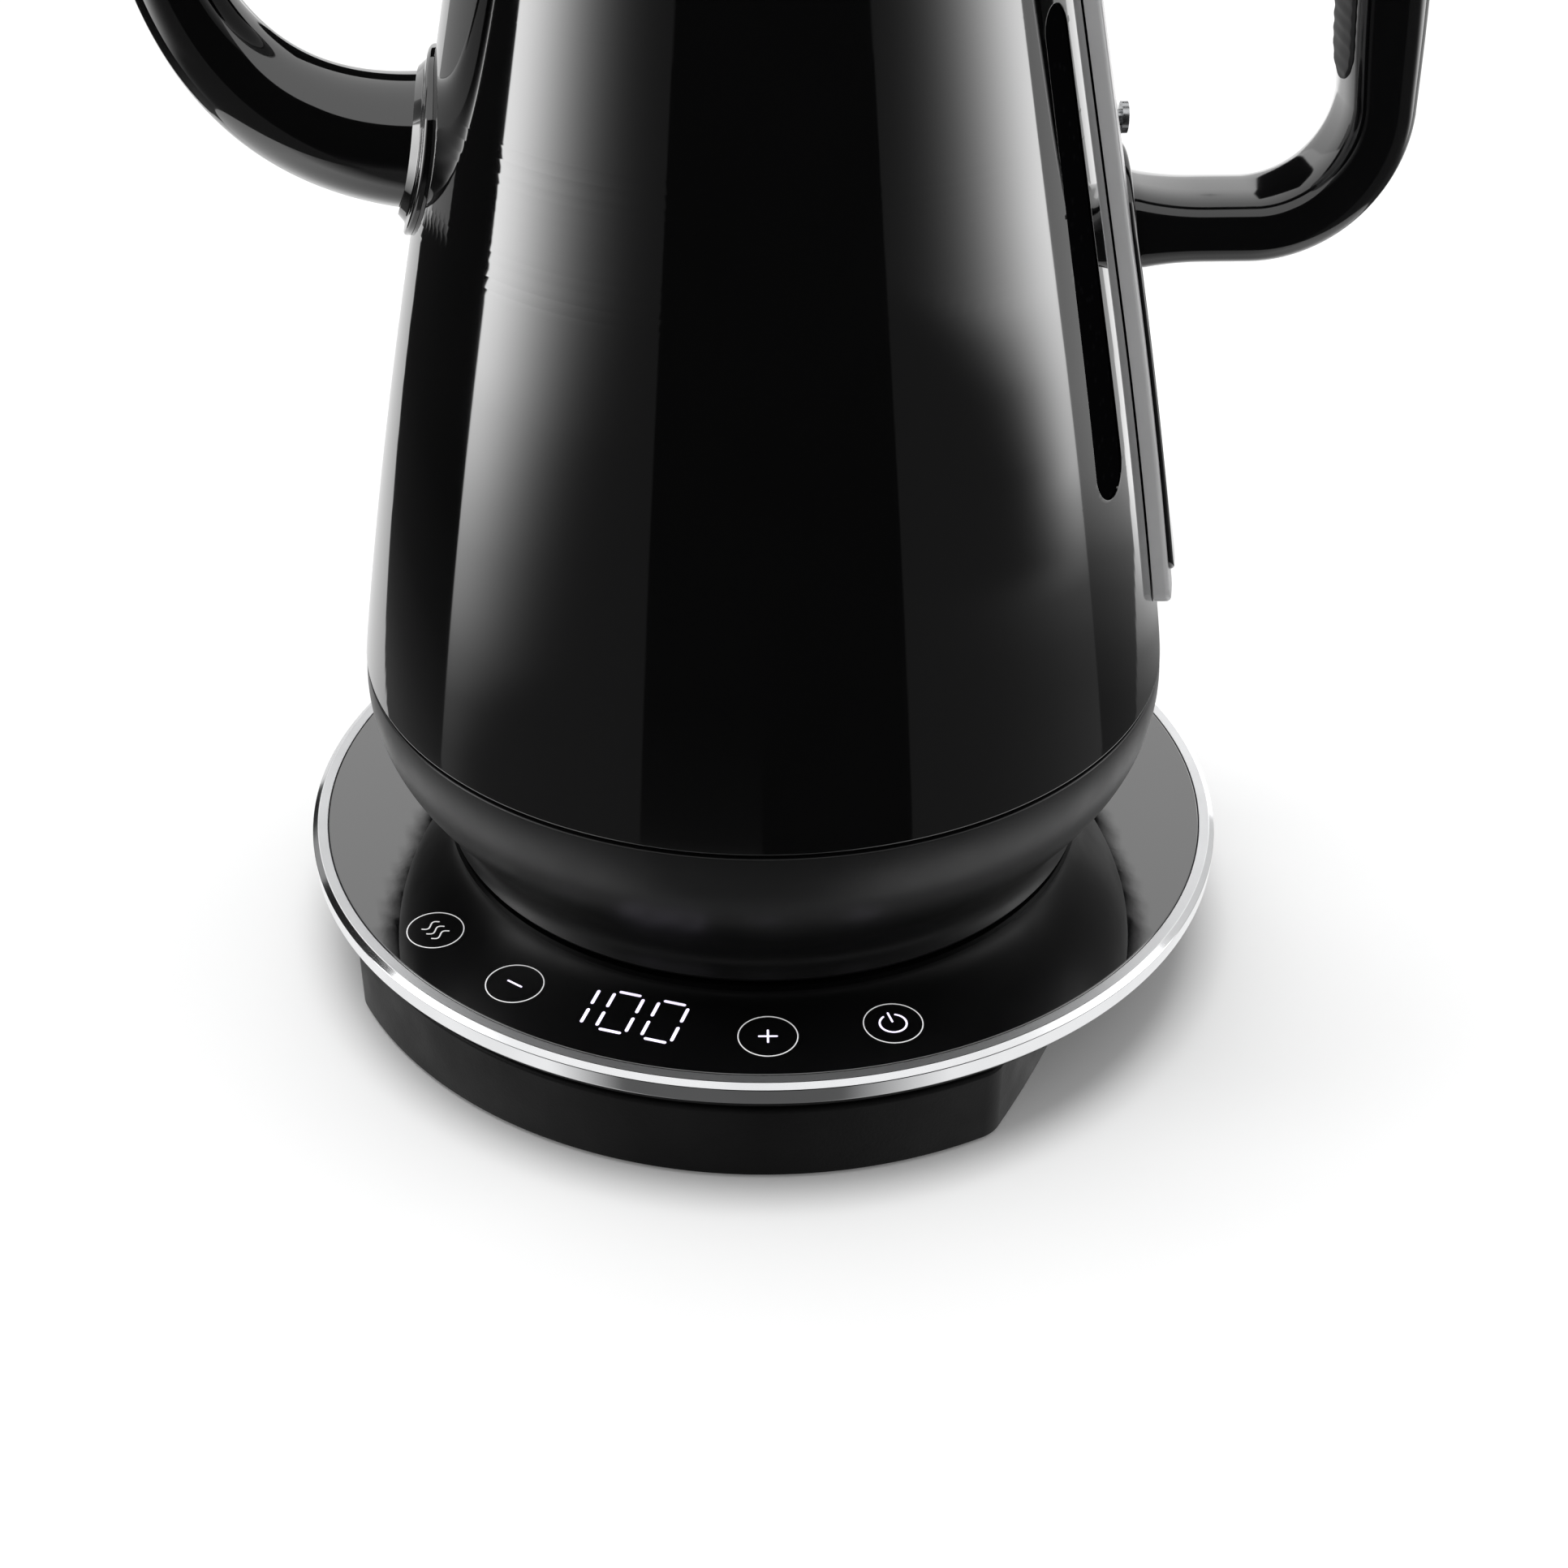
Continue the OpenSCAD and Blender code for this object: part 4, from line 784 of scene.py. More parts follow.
class KETTLE_OT_plinth(BuildStep):
    """Plinth with bowed sides, soft corners and a rounded shoulder"""

    bl_idname = "kettle.plinth"
    bl_label = "Plinth"

    def build(self, context):
        s = measures(context, "kettle_base")
        side_x = s.plinth_side_radius - s.plinth_half_width
        a = s.plinth_radius - s.plinth_corner
        b = s.plinth_side_radius - s.plinth_corner
        cx = (b * b - a * a - side_x * side_x) / (2 * side_x)
        cy = math.sqrt(a * a - cx * cx)
        turn, side = math.degrees(math.atan2(cy, cx)), math.degrees(math.atan2(cy, cx + side_x))

        def outline(inset, z):
            arcs = [
                (-side_x, 0, s.plinth_side_radius, -side, side, 24),
                (cx, cy, s.plinth_corner, side, turn, 12),
                (0, 0, s.plinth_radius, turn, 180 - turn, 80),
                (-cx, cy, s.plinth_corner, 180 - turn, 180 - side, 12),
                (side_x, 0, s.plinth_side_radius, 180 - side, 180 + side, 24),
                (-cx, -cy, s.plinth_corner, 180 + side, 180 + turn, 12),
                (0, 0, s.plinth_radius, 180 + turn, 360 - turn, 80),
                (cx, -cy, s.plinth_corner, 360 - turn, 360 - side, 12),
            ]
            points = []
            for x, y, r, first, last, count in arcs:
                for k in range(count):
                    t = math.radians(first + (last - first) * k / count)
                    points.append((x + (r - inset) * math.cos(t), y + (r - inset) * math.sin(t), z))
            return turned_about(points, s.turn)

        wall, low = s.plinth_wall, s.plinth_low
        rim_depth, deck_rim = 2.6, 4.5
        section = rounded([(wall, low + rim_depth, 0), (wall, low, 0.4), (0, low, 0.5),
                           (0, s.shoulder, s.shoulder_round), (s.ledge, s.shoulder, 0.2),
                           (s.ledge, s.deck, 0.2), (deck_rim, s.deck, 0)], closed=False)
        skin = Skin()
        skin.strip([outline(inset, z) for inset, z in section], loop=True)
        skin.lid(outline(*section[0]))
        skin.lid(outline(*section[-1]))
        made = skin.piece("plinth_shell")
        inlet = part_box("cord_gland")
        middle = (inlet[0] + inlet[1]) / 2
        bore_radius, bore_depth = 5.5 * MM, 20 * MM
        self.bore(made, middle, math.radians(s.turn), bore_radius, bore_depth)
        place(made, "base", "plinth_plastic", "base_housing")

    def bore(self, made, middle, turn, radius, depth):
        """Cuts the round hole for the cord gland through the back wall."""
        cut = bmesh.new()
        bmesh.ops.create_cone(cut, cap_ends=True, segments=48, radius1=radius, radius2=radius,
                              depth=depth)
        mesh = bpy.data.meshes.new("gland_cut")
        cut.to_mesh(mesh)
        cut.free()
        cutter = bpy.data.objects.new("gland_cut", mesh)
        bpy.context.scene.collection.objects.link(cutter)
        cutter.location = middle
        cutter.rotation_euler = (math.pi / 2, 0, turn)
        trim = made.modifiers.new("gland_hole", "BOOLEAN")
        trim.operation, trim.object, trim.solver = "DIFFERENCE", cutter, "EXACT"
        bpy.context.view_layer.update()
        solid = bpy.data.meshes.new_from_object(
            made.evaluated_get(bpy.context.evaluated_depsgraph_get()))
        made.modifiers.clear()
        made.data = solid
        solid.set_sharp_from_angle(angle=math.radians(CREASE))
        bpy.data.objects.remove(cutter)


class KETTLE_OT_panel(BuildStep):
    """Glass disc and the polished trim round it"""

    bl_idname = "kettle.glass"
    bl_label = "Glass and trim"

    def build(self, context):
        s = measures(context, "kettle_base")
        low = s.glass_top - s.glass_thickness
        glass = lathe(rounded([(s.glass_hole, low, 0), (s.glass_radius, low, 0),
                               (s.glass_radius, s.glass_top, s.glass_edge),
                               (s.glass_hole, s.glass_top, s.glass_edge)], steps=4), 300)
        place(glass.piece("glass_top"), "base", "black_glass", "glass_panel")
        joint = 0.12  # between glass and trim
        near, foot = s.glass_radius + joint, s.glass_top - s.trim_height
        trim = lathe(rounded([(near, foot, 0), (s.trim_radius, foot, s.trim_lip),
                              (s.trim_radius, s.glass_top - s.trim_facet * 0.8, s.trim_edge),
                              (s.trim_radius - s.trim_facet, s.glass_top, s.trim_edge),
                              (near, s.glass_top, joint)], steps=8), 300)
        place(trim.piece("trim_band"), "base", "polished_trim", "trim_ring")


PRINT_LOW, PRINT_HIGH = 0.01, 0.05  # underside and face of the print above the glass
KEY_STEPS = {"steam": -2, "minus": -1.04, "plus": 1.04, "power": 2}  # in key steps


class KETTLE_OT_marks(BuildStep):
    """Printed key rings, key signs and the lit digits"""

    bl_idname = "kettle.marks"
    bl_label = "Marks on the glass"

    def build(self, context):
        s = measures(context, "kettle_base")
        low, high = s.glass_top + PRINT_LOW, s.glass_top + PRINT_HIGH
        for key, step in KEY_STEPS.items():
            skin = Skin()
            half = s.key_line / 2
            rows = [[(r * math.cos(t), r * math.sin(t) - s.key_circle, z)
                     for t in (2 * math.pi * k / 96 for k in range(96))]
                    for r, z in ((s.key_ring - half, low), (s.key_ring + half, low),
                                 (s.key_ring + half, high), (s.key_ring - half, high))]
            skin.strip(rows + rows[:1], loop=True)
            # the rings and the steam sign get the print finish with its painted glow
            self.settle(skin, f"{key}_ring", step * s.key_step + s.turn, "printed_marks_painted_glow")
            sign = Skin()
            for line, width in self.sign(key):
                sign.ribbon([(x, y - s.key_circle) for x, y in line], width, low, high)
            self.settle(sign, f"{key}_sign", step * s.key_step + s.turn,
                        "printed_marks_painted_glow" if key == "steam" else "lit_marks")
        digits = Skin()
        offset = -3.27  # the digits stand a little left of the middle
        for number, middle in zip("100", (-1, 0, 1)):
            centre = (middle * s.digit_pitch + offset, -s.digit_circle)
            for line in self.bars(number, s):
                digits.ribbon([(x + centre[0], y + centre[1]) for x, y in line], s.digit_bar,
                              low, high, 2)
        self.settle(digits, "digits", s.turn, "lit_marks")

    def sign(self, key):
        """Strokes of a key's sign round its middle, each with its width; up is to the axis."""
        if key == "minus":
            return [([(-1.65, 0), (1.65, 0)], 0.42)]
        if key == "plus":
            return [([(-1.7, 0), (1.7, 0)], 0.42), ([(0, -1.7), (0, 1.7)], 0.42)]
        if key == "power":
            arc = [(2.6 * math.sin(math.radians(t)), 2.6 * math.cos(math.radians(t)))
                   for t in range(28, 333, 8)]
            return [(arc, 0.4), ([(0, 0.5), (0, 3.1)], 0.4)]
        wave = [(0.62 * math.sin(2 * math.pi * k / 20), 4.0 * k / 20 - 2.0) for k in range(21)]
        return [([(x + shift, y) for x, y in wave], 0.28) for shift in (-1.9, 0, 1.9)]

    def bars(self, number, s):
        """Lit bars of a seven-bar digit round its middle."""
        x, y, gap = s.digit_width / 2, s.digit_height / 2, 1.05
        upright = [[(side * x, up * gap), (side * x, up * (y - gap))]
                   for side in (-1, 1) for up in (-1, 1)]
        level = [[(gap - x, up * y), (x - gap, up * y)] for up in (-1, 1)]
        return upright[2:] if number == "1" else upright + level

    def settle(self, skin, name, degrees, finish):
        skin.turn(degrees)
        place(skin.piece(name), "base", "display", finish=finish)


class KETTLE_OT_bowl(BuildStep):
    """Lower bowl with the recesses for its screws"""

    bl_idname = "kettle.bowl"
    bl_label = "Lower bowl"

    def build(self, context):
        s = measures(context, "kettle_body")
        wall = Wall(s)
        low, foot = s.bowl_low, s.bowl_foot
        top_r, top_z = s.bottom_radius - 0.15, s.seam_height - s.seam_gap / 2
        lip_r = wall.r(s.seam_height + s.seam_gap / 2 + 4) - s.wall - 0.1
        curve = [(foot, low + 1.2), (foot - 4, low + 11), (top_r + 3, low + 18), (top_r, top_z)]
        gaps_at = (30.0, 150.0, 270.0)
        columns = (80, 80, 80)
        stations = hole_stations(s.screw_circle, s.screw_recess, 12)

        def row(r, z):
            return open_ring(r, z, [(a, 0.0) for a in gaps_at], columns)

        under = [open_ring(r, low, [(a, half) for a in gaps_at], columns) for r, half in stations]
        flank = [bezier(curve, k / 48) for k in range(49)]
        brim = [(*flank[-2], 0), (top_r, top_z, 0.35), (lip_r, top_z, 0)]
        flank = flank[:-1] + rounded(brim, closed=False, steps=4)[1:]
        thick, floor, port_high = 2.2, 5.5, 12.4
        rest = [(lip_r, top_z + 4), (lip_r - 1.8, top_z + 4), (lip_r - 1.8, top_z - 2),
                (foot - 6, low + floor), (s.bowl_port + thick, low + floor),
                (s.bowl_port + thick, low + port_high), (s.bowl_port, low + port_high),
                (s.bowl_port, low)]
        skin = Skin()
        rows = under + [row(r, z) for r, z in
                        [(foot - 1.6, low), (foot - 0.5, low + 0.4)] + flank + rest] + under[:1]
        skin.gapped(rows, columns)
        loop = [(math.sqrt(r * r - u * u), u) for r, u in both_sides(stations)]
        recess_depth = 4.6
        walls = [[(x, y, z) for x, y in loop] for z in (low, low + recess_depth)]
        for a in gaps_at:
            start = len(skin.points)
            skin.strip(walls, loop=True)
            skin.lid(walls[1])
            skin.turn(a, start)
        place(skin.piece("lower_bowl"), "kettle", "bowl_plastic", "bottom_bowl")


class KETTLE_OT_body(BuildStep):
    """Body with the water window's slot and the spout's hole"""

    bl_idname = "kettle.body"
    bl_label = "Body"

    def build(self, context):
        s = measures(context, "kettle_body")
        wall = Wall(s)
        low, high = s.seam_height + s.seam_gap / 2, s.rim_height
        soft = 0.12  # round of the slot's outer edge
        narrow = s.window_width / 2 * (1 - wall.r(s.window_high) / wall.r(s.window_low))
        taper = math.atan(narrow / (s.window_high - s.window_low))
        half = s.window_width / 2 * (1 + math.sin(taper)) / math.cos(taper)
        slot = Bar(half, s.window_low, s.window_high, math.degrees(taper), s.window_width / 2,
                   -soft)
        hole_r = s.spout_root_radius + 0.1
        window, spout = s.window_turn - 90, 180.0
        hole = [s.spout_root + hole_r * math.sin(math.pi * (k / 24 - 0.5)) for k in range(25)]
        steps = [low + s.bottom_edge + 2.2 * k for k in range(int((high - low) / 2.2))]
        marks = sorted(slot.heights(16, 8) + hole + steps)
        marks = [z for z, after in zip(marks, marks[1:] + [high]) if after - z > 1e-3]
        marks[-1] = min(marks[-1], high - 0.4)

        def slot_half(z):
            return slot.at(z)[1] if slot.foot < z < slot.top else 0.0

        def inner(z):
            """Height and half width of the slot at the inner face."""
            _, h, n, m = slot.at(z)
            if not slot.foot <= z <= slot.top:
                return z, 0.0
            return (z if abs(m - slot.s) < 1e-6 else z - soft * m), max(h - soft * n, 0.0)

        def hole_half(z):
            return math.sqrt(max(hole_r**2 - (z - s.spout_root) ** 2, 0.0))

        columns = (170, 190)
        outer = [open_ring(wall.r(z), z, [(window, slot_half(z)), (spout, hole_half(z))], columns)
                 for z in marks]
        within = [open_ring(wall.r(w) - s.wall, w, [(window, h), (spout, hole_half(w))], columns)
                  for w, h in map(inner, marks)]
        edge = s.bottom_edge
        bottom = [(wall.r(low + edge) - edge * (1 - math.cos(a)), low + edge - edge * math.sin(a))
                  for a in (math.pi / 2 * k / 6 for k in range(1, 7))]
        closed = [(window, 0.0), (spout, 0.0)]
        foot = [open_ring(r, z, closed, columns)
                for r, z in [(wall.r(low) - s.wall, low)] + bottom[::-1]]
        rim = [open_ring(r, high, closed, columns)
               for r in (wall.r(high) - 0.3, wall.r(high) - s.wall)]
        skin = Skin()
        skin.gapped(foot + outer + rim + within[::-1] + foot[:1], columns)
        # slot wall: from the soft outer edge down to the inner face
        start = len(skin.points)
        around = [slot.at(z) for z in marks if slot.foot - 1e-6 <= z <= slot.top + 1e-6]
        quarter = [math.pi / 2 * k / 4 for k in range(5)]
        layers = [(soft * math.sin(a), soft * (1 - math.cos(a))) for a in quarter]
        layers.append((soft, s.wall))
        for side in (-1, 1):
            skin.strip([[wall.at(side * max(h - inset * n, 0.0),
                                 z if abs(m - slot.s) < 1e-6 else z - inset * m, -deep)
                         for z, h, n, m in around] for inset, deep in layers])
        skin.turn(window, start)
        start = len(skin.points)
        loop = both_sides([(z, hole_half(z)) for z in hole])
        skin.strip([[wall.at(u, z, out) for z, u in loop] for out in (0.0, -s.wall)], loop=True)
        skin.turn(spout, start)
        place(skin.piece("body_shell", SOFT_CREASE), "kettle", "gloss_black", "kettle_shell")


class KETTLE_OT_spout(BuildStep):
    """Tapered gooseneck with its bore, rolled mouth and flange"""

    bl_idname = "kettle.spout"
    bl_label = "Spout"

    def build(self, context):
        s = measures(context, "kettle_body")
        wall = Wall(s)
        # the neck's line starts inside the body and is two curves that meet halfway
        root_x = wall.r(s.spout_root) - 8
        mid = (-(root_x + 0.51 * (s.spout_reach - root_x)),
               s.spout_root + 0.5 * (s.spout_tip - s.spout_root))
        pull = (20 * -0.27, 20 * 0.963)  # along the neck's steepest stretch
        first = [(-root_x, s.spout_root), (-root_x - 32, s.spout_root - 2),
                 (mid[0] - pull[0], mid[1] - pull[1]), mid]
        second = [mid, (mid[0] + pull[0], mid[1] + pull[1]),
                  (-s.spout_reach + 31, s.spout_tip + 2), (-s.spout_reach, s.spout_tip)]

        def centre(t):
            return Vector(bezier(first, t) if t < 1 else bezier(second, t - 1))

        def radius(t):
            spread = s.spout_root_radius - s.spout_tip_radius
            return s.spout_tip_radius + spread * (1 - min(t, 2.0) / 2) ** 1.7

        def point(t, k, shrink, ahead=0.0):
            d = (centre(min(t + 1e-3, 2.0)) - centre(max(t - 1e-3, 0.0))).normalized()
            a, r = 2 * math.pi * k / sides, radius(t) - shrink
            c = centre(t) + d * ahead
            return (c.x - r * math.cos(a) * d.y, r * math.sin(a), c.y + r * math.cos(a) * d.x)

        def start(k, shrink):
            near, far = 0.0, 0.6
            for _ in range(30):
                t = (near + far) / 2
                x, y, z = point(t, k, shrink)
                near, far = (t, far) if math.hypot(x, y) < wall.r(z) - s.wall else (near, t)
            return far

        sides, rings = 72, 110
        skin = Skin()
        rows = []
        for shrink in (0.0, s.spout_wall):
            begin = [start(k, shrink) for k in range(sides)]
            rows.append([[point(begin[k] + (2 - begin[k]) * j / rings, k, shrink)
                          for k in range(sides)] for j in range(rings + 1)])
        lip = s.spout_wall / 2
        rolled = [[point(2.0, k, lip - lip * math.cos(a), -0.6 + lip * math.sin(a))
                   for k in range(sides)] for a in (math.pi * j / 8 for j in range(9))]
        outer = [r for r in rows[0][:-1] if r[0][0] > -s.spout_reach + 1.2]
        inner = [r for r in rows[1][:-1] if r[0][0] > -s.spout_reach + 1.2]
        skin.strip(outer + rolled + inner[::-1] + outer[:1], loop=True)
        place(skin.piece("spout_neck"), "kettle", "gloss_black", "spout")
        # flange: a ring that lies on the body and sweeps up to the neck
        bore, rim, thick = s.spout_root_radius + 0.1, s.flange_radius, s.flange_thickness
        lift, swell = 0.05, 1.6
        section = rounded([(bore, lift, 0), (rim, lift, 0), (rim, thick, 0.8),
                           (bore + swell, thick, 1.2), (bore, thick + swell, 0.1)], steps=6)
        rows = []
        for across, out in section + section[:1]:
            spots = [wall.at(x, s.spout_root + y, out) for x, y, _ in ring(across, 0, 96)]
            rows.append([(-x, y, z) for x, y, z in spots])
        flange = Skin()
        flange.strip(rows, loop=True)
        place(flange.piece("spout_flange"), "kettle", "gloss_black", "spout_collar")


class KETTLE_OT_handle(BuildStep):
    """Rail, tongue, loop grip and its soft pad"""

    bl_idname = "kettle.handle"
    bl_label = "Handle"

    def build(self, context):
        s = measures(context, "kettle_handle")
        wall = Wall(measures(context, "kettle_body"))
        face = s.rail_gap + s.rail_thickness
        half, q = s.rail_width / 2, math.radians(s.rail_taper)
        band = Bar(half, s.rail_low, s.rail_high, s.rail_taper, s.rail_corner)
        rail = pillow(band, edge_layers(s.rail_gap, face, 0.9), wall.at, 28)
        place(rail.piece("handle_rail_band"), "kettle", "rail_plastic", "handle_rail")
        grip = self.grip(s, wall)
        foot = s.rail_low + s.tongue_step
        half -= s.tongue_step * math.tan(q) + s.tongue_inset / math.cos(q)
        top = s.arm_height + half * math.cos(q) - (s.arm_height - foot) * math.sin(q)
        plate = pillow(Bar(half, foot, top, s.rail_taper, s.rail_corner),
                       edge_layers(face - 0.6, face + s.tongue_thickness, 0.85), wall.at, 28)
        place(grip.piece("handle_loop", ROUND_CREASE), "kettle", "gloss_handle", "handle_grip")
        place(plate.piece("handle_tongue"), "kettle", "gloss_handle")
        place(self.pad(s).piece("grip_pad_ribbed", ROUND_CREASE), "kettle", "soft_grip", "grip_pad")

    def frame_of(self, degrees):
        """Direction of the path and of its outer side, in the handle's upright plane."""
        a = math.radians(degrees)
        return Vector((math.sin(a), math.cos(a))), Vector((math.cos(a), -math.sin(a)))

    def ends(self, s):
        """Centres and corners of the bar's centre line."""
        lean, out = self.frame_of(-s.grip_lean)
        low_centre = Vector((s.bend_place, s.arm_height + s.low_bend))
        start = low_centre + out * s.low_bend
        end = start + lean * s.grip_length
        high_centre = end - out * s.high_bend
        arm = high_centre + self.frame_of(-s.arm_fall)[1] * s.high_bend
        return low_centre, start, end, high_centre, arm

    def grip(self, s, wall):
        """Loop from the rail round the bends and back to the rail."""
        low_centre, start, end, high_centre, arm = self.ends(s)
        lean = -s.grip_lean

        def flare(d):
            return s.flare * (1 - d / s.flare_length) ** 2 if d < s.flare_length else 0.0

        t = s.thickness - 0.2
        arm_steps, bend_steps, grip_steps = 16, 28, 20
        arm_length = s.bend_place - wall.r(s.arm_height)
        stations = [(Vector((s.bend_place - arm_length + d, s.arm_height)), 90, t + flare(d))
                    for d in (arm_length * k / arm_steps for k in range(1, arm_steps + 1))]
        for k in range(1, bend_steps + 1):
            a = 90 - k * (90 - lean) / bend_steps
            stations.append((low_centre + self.frame_of(a)[1] * s.low_bend, a, t))
        for k in range(1, grip_steps):
            bulge = 1.2 * math.sin(math.pi * k / grip_steps)
            stations.append((start.lerp(end, k / grip_steps), lean, t + bulge))
        for k in range(bend_steps + 1):
            a = lean - k * (s.arm_fall + lean) / bend_steps
            stations.append((high_centre + self.frame_of(a)[1] * s.high_bend, a, t))
        way = self.frame_of(-s.arm_fall)[0]
        face = s.rail_gap + s.rail_thickness
        gap = next(d for d in range(200) if (arm + way * d).x < wall.r((arm + way * d).y) + face)
        for d in range(2, gap - 1, 2):
            stations.append((arm + way * d, -s.arm_fall, t + flare(gap - d)))
        sides, power = 72, 2 / s.squareness
        rows = []
        for at, degrees, thick in stations:
            out = self.frame_of(degrees)[1]
            row = []
            for k in range(sides):
                a = 2 * math.pi * k / sides
                c, d = math.cos(a), math.sin(a)
                p = at + out * (math.copysign(abs(c) ** power, c) * thick / 2)
                row.append((p.x, math.copysign(abs(d) ** power, d) * s.width / 2 * 0.995, p.y))
            rows.append(row)
        sunk = face - 0.7  # both ends reach a little into the rail
        rows[0] = [(wall.at(y, z, sunk)[0], y, z) for x, y, z in rows[0]]
        last = []
        for x, y, z in rows[-1]:
            step = 0.0
            while math.hypot(x + way.x * step, y) > wall.r(z + way.y * step) + sunk:
                step += 0.1
            last.append((x + way.x * step, y, z + way.y * step))
        rows.append(last)
        skin = Skin()
        skin.strip(rows, loop=True)
        skin.lid(rows[0])
        skin.lid(rows[-1])
        return skin

    def pad(self, s):
        """Soft pad with cross ribs on the grip's inner face."""
        _, start, *_ = self.ends(s)
        lean, out = self.frame_of(-s.grip_lean)
        margin, rib_pitch, rib_height = 3.1, 2.6, 0.16
        run = s.grip_length - 2 * margin

        def at(u, v, height):
            f = (v + margin) / s.grip_length
            bulge = 0.6 * math.sin(math.pi * min(max(f, 0), 1))  # half the grip's own
            wave = 0.5 + 0.5 * math.cos(2 * math.pi * v / rib_pitch)
            rib = rib_height * wave if height > 0.2 else 0.0
            crown = 0.35 * (u / 7) ** 2
            deep = s.thickness / 2 + bulge + height - crown - 0.05 + rib
            p = start + lean * (v + margin) - out * deep
            return (p.x, u, p.y)

        outline = Bar(6.6, 0.4, run - 0.4, 0, 6.6)
        return pillow(outline, edge_layers(-0.8, 0.4, 0.4, 4), at, 12, outline.heights(14, 130))


class KETTLE_OT_lid(BuildStep):
    """Rim collar, lid with its steam vents, and knob"""

    bl_idname = "kettle.lid"
    bl_label = "Collar, lid and knob"

    def build(self, context):
        s = measures(context, "kettle_lid")
        b = measures(context, "kettle_body")
        wall = Wall(b)
        rim, top = b.rim_height, b.rim_height + s.collar_height
        skirt = wall.r(rim) - b.wall - 0.12
        thick, deep, seat = 1.5, 7, rim + 0.06
        collar = lathe(rounded([
            (s.hole_radius, top, 0.6), (s.lid_radius, top, 0.5), (wall.r(rim) - 0.1, seat, 0.15),
            (skirt, seat, 0), (skirt, rim - deep, 0.3), (skirt - thick, rim - deep, 0.3),
            (skirt - thick, rim, 0.4), (s.hole_radius, rim + thick, 0.4)], steps=5))
        place(collar.piece("rim_band"), "kettle", "collar_plastic", "rim_collar")
        self.cap(s)
        stem, foot = s.stem_radius, s.lid_top + 0.03
        knob = rounded([(0, s.knob_top, 0), (s.knob_radius * 0.96, s.knob_top - 3.1, 1.2),
                        (s.knob_radius, s.knob_top - 4.6, 1.2),
                        (stem + 1.2, s.lid_top + s.stem_height - 0.2, 2.4),
                        (stem - 0.3, s.lid_top + 1.2, 1.0), (stem + 0.9, foot, 0),
                        (0, foot, 0)], closed=False, steps=8)
        dome = [(s.knob_radius * 0.9 * math.sin(a), s.knob_top - 2.6 * (1 - math.cos(a)) / 0.65)
                for a in (1.2 * k / 16 for k in range(17))]
        knob = dome + [p for p in knob if p[1] < dome[-1][1] - 0.05]
        place(lathe(knob, 144, closed=False).piece("knob"), "lid", "gloss_black", "lid_knob")

    def cap(self, s):
        """Shallow dome with three vents."""
        rise = s.lid_top - s.lid_low - s.lid_edge
        dome = (s.lid_radius**2 + rise**2) / (2 * rise)

        def height(r):
            return s.lid_top - dome + math.sqrt(dome * dome - r * r)

        at = (60.0, 180.0, 300.0)
        columns = (80, 80, 80)
        stations = hole_stations(s.vent_circle, s.vent_radius, 10)

        def row(r, z):
            return open_ring(max(r, 0.001), z, [(a, 0.0) for a in at], columns)

        def domed(near, far, steps):
            found = (near + (far - near) * k / steps for k in range(steps + 1))
            return [row(r, height(r)) for r in found]

        edge = s.lid_radius - 0.9
        rows = domed(0.0, 28.0, 16)
        rows += [open_ring(r, height(r), [(a, half) for a in at], columns) for r, half in stations]
        rows += domed(32.0, edge, 12)
        side = rounded([(edge, height(edge), 0), (s.lid_radius, height(s.lid_radius), 0.7),
                        (s.lid_radius, s.lid_low, 0.5), (s.lid_radius - 6, s.lid_low, 0)],
                       closed=False, steps=6)[1:]
        bead, floor = 39.2, s.lid_low + 0.6
        side += [(bead, s.lid_low), (bead - 0.1, floor), (0.0, floor)]
        rows += [row(r, z) for r, z in side]
        top = [(math.sqrt(r * r - u * u), u, height(r)) for r, u in both_sides(stations)]
        deep = [(x, y, s.lid_low + 1.2) for x, y, _ in top]
        skin = Skin()
        skin.gapped(rows, columns)
        for a in at:
            start = len(skin.points)
            skin.strip([top, deep], loop=True)
            skin.lid(deep)
            skin.turn(a, start)
        place(skin.piece("lid_dome", SOFT_CREASE), "lid", "gloss_black", "lid_cap")


# The tent of strip lights. Heights are in millimetres above the table, and turns are in degrees
# round from the camera's side. A table's rows give a height and the value there. In WHITE_FROM
# they give a turn and the height from which the tent is white.
TENT_FOOT = -420
# below TABLE_EDGE the tent stands in for the table in reflections, with painted shade: dark in
# front of the kettle, light at the sides
TABLE_EDGE = -205  # below it the tent shows the table in front of the kettle
CARD_FOOT, CARD_TOP = 250, 660  # the dark card behind the kettle
CARD_FROM = [(250, 180), (295, 172), (330, 166), (372, 161.2), (414, 159), (437, 158.3),
             (900, 158.2)]
WHITE_FROM = [(0, 650), (39, 560), (72, 420), (95, 280), (180, 250)]
STRIP_LEAN, REAR_LEAN = 1.3, 2.1  # how far the light's fade leans, in millimetres to the degree
STRIP_HAZE = 0.07
# each strip: its inner and outer edge, its fade from top to bottom, and how wide it glows inwards
LEFT_STRIP = (29.5, 90.5,
              [(-420, 0.0), (-108, 0.022), (-82, 0.04), (-58, 0.1), (-33, 0.2), (-9, 0.28),
               (15, 0.41), (37, 0.56), (60, 0.69), (77, 0.82), (104, 0.94), (125, 1.0),
               (900, 1.0)],
              [(-420, 9), (-108, 9), (-82, 12.6), (-58, 18.8), (37, 20.6), (60, 22.2), (104, 24),
               (900, 24)])
RIGHT_STRIP = (36, 98,
               [(-420, 0.005), (-83, 0.012), (-63, 0.02), (-40, 0.045), (-22, 0.13), (0, 0.3),
                (16, 0.49), (53, 0.66), (76, 0.8), (92, 0.92), (120, 1.0), (900, 1.0)],
               [(-420, 30), (-40, 26), (-20, 14), (20, 13), (60, 16), (79, 21), (92, 26),
                (900, 27)])
SIDE = [(-420, 0.04), (-100, 0.05), (-74, 0.07), (-45, 0.12), (-26, 0.19), (13, 0.56), (51, 0.66),
        (900, 0.68)]
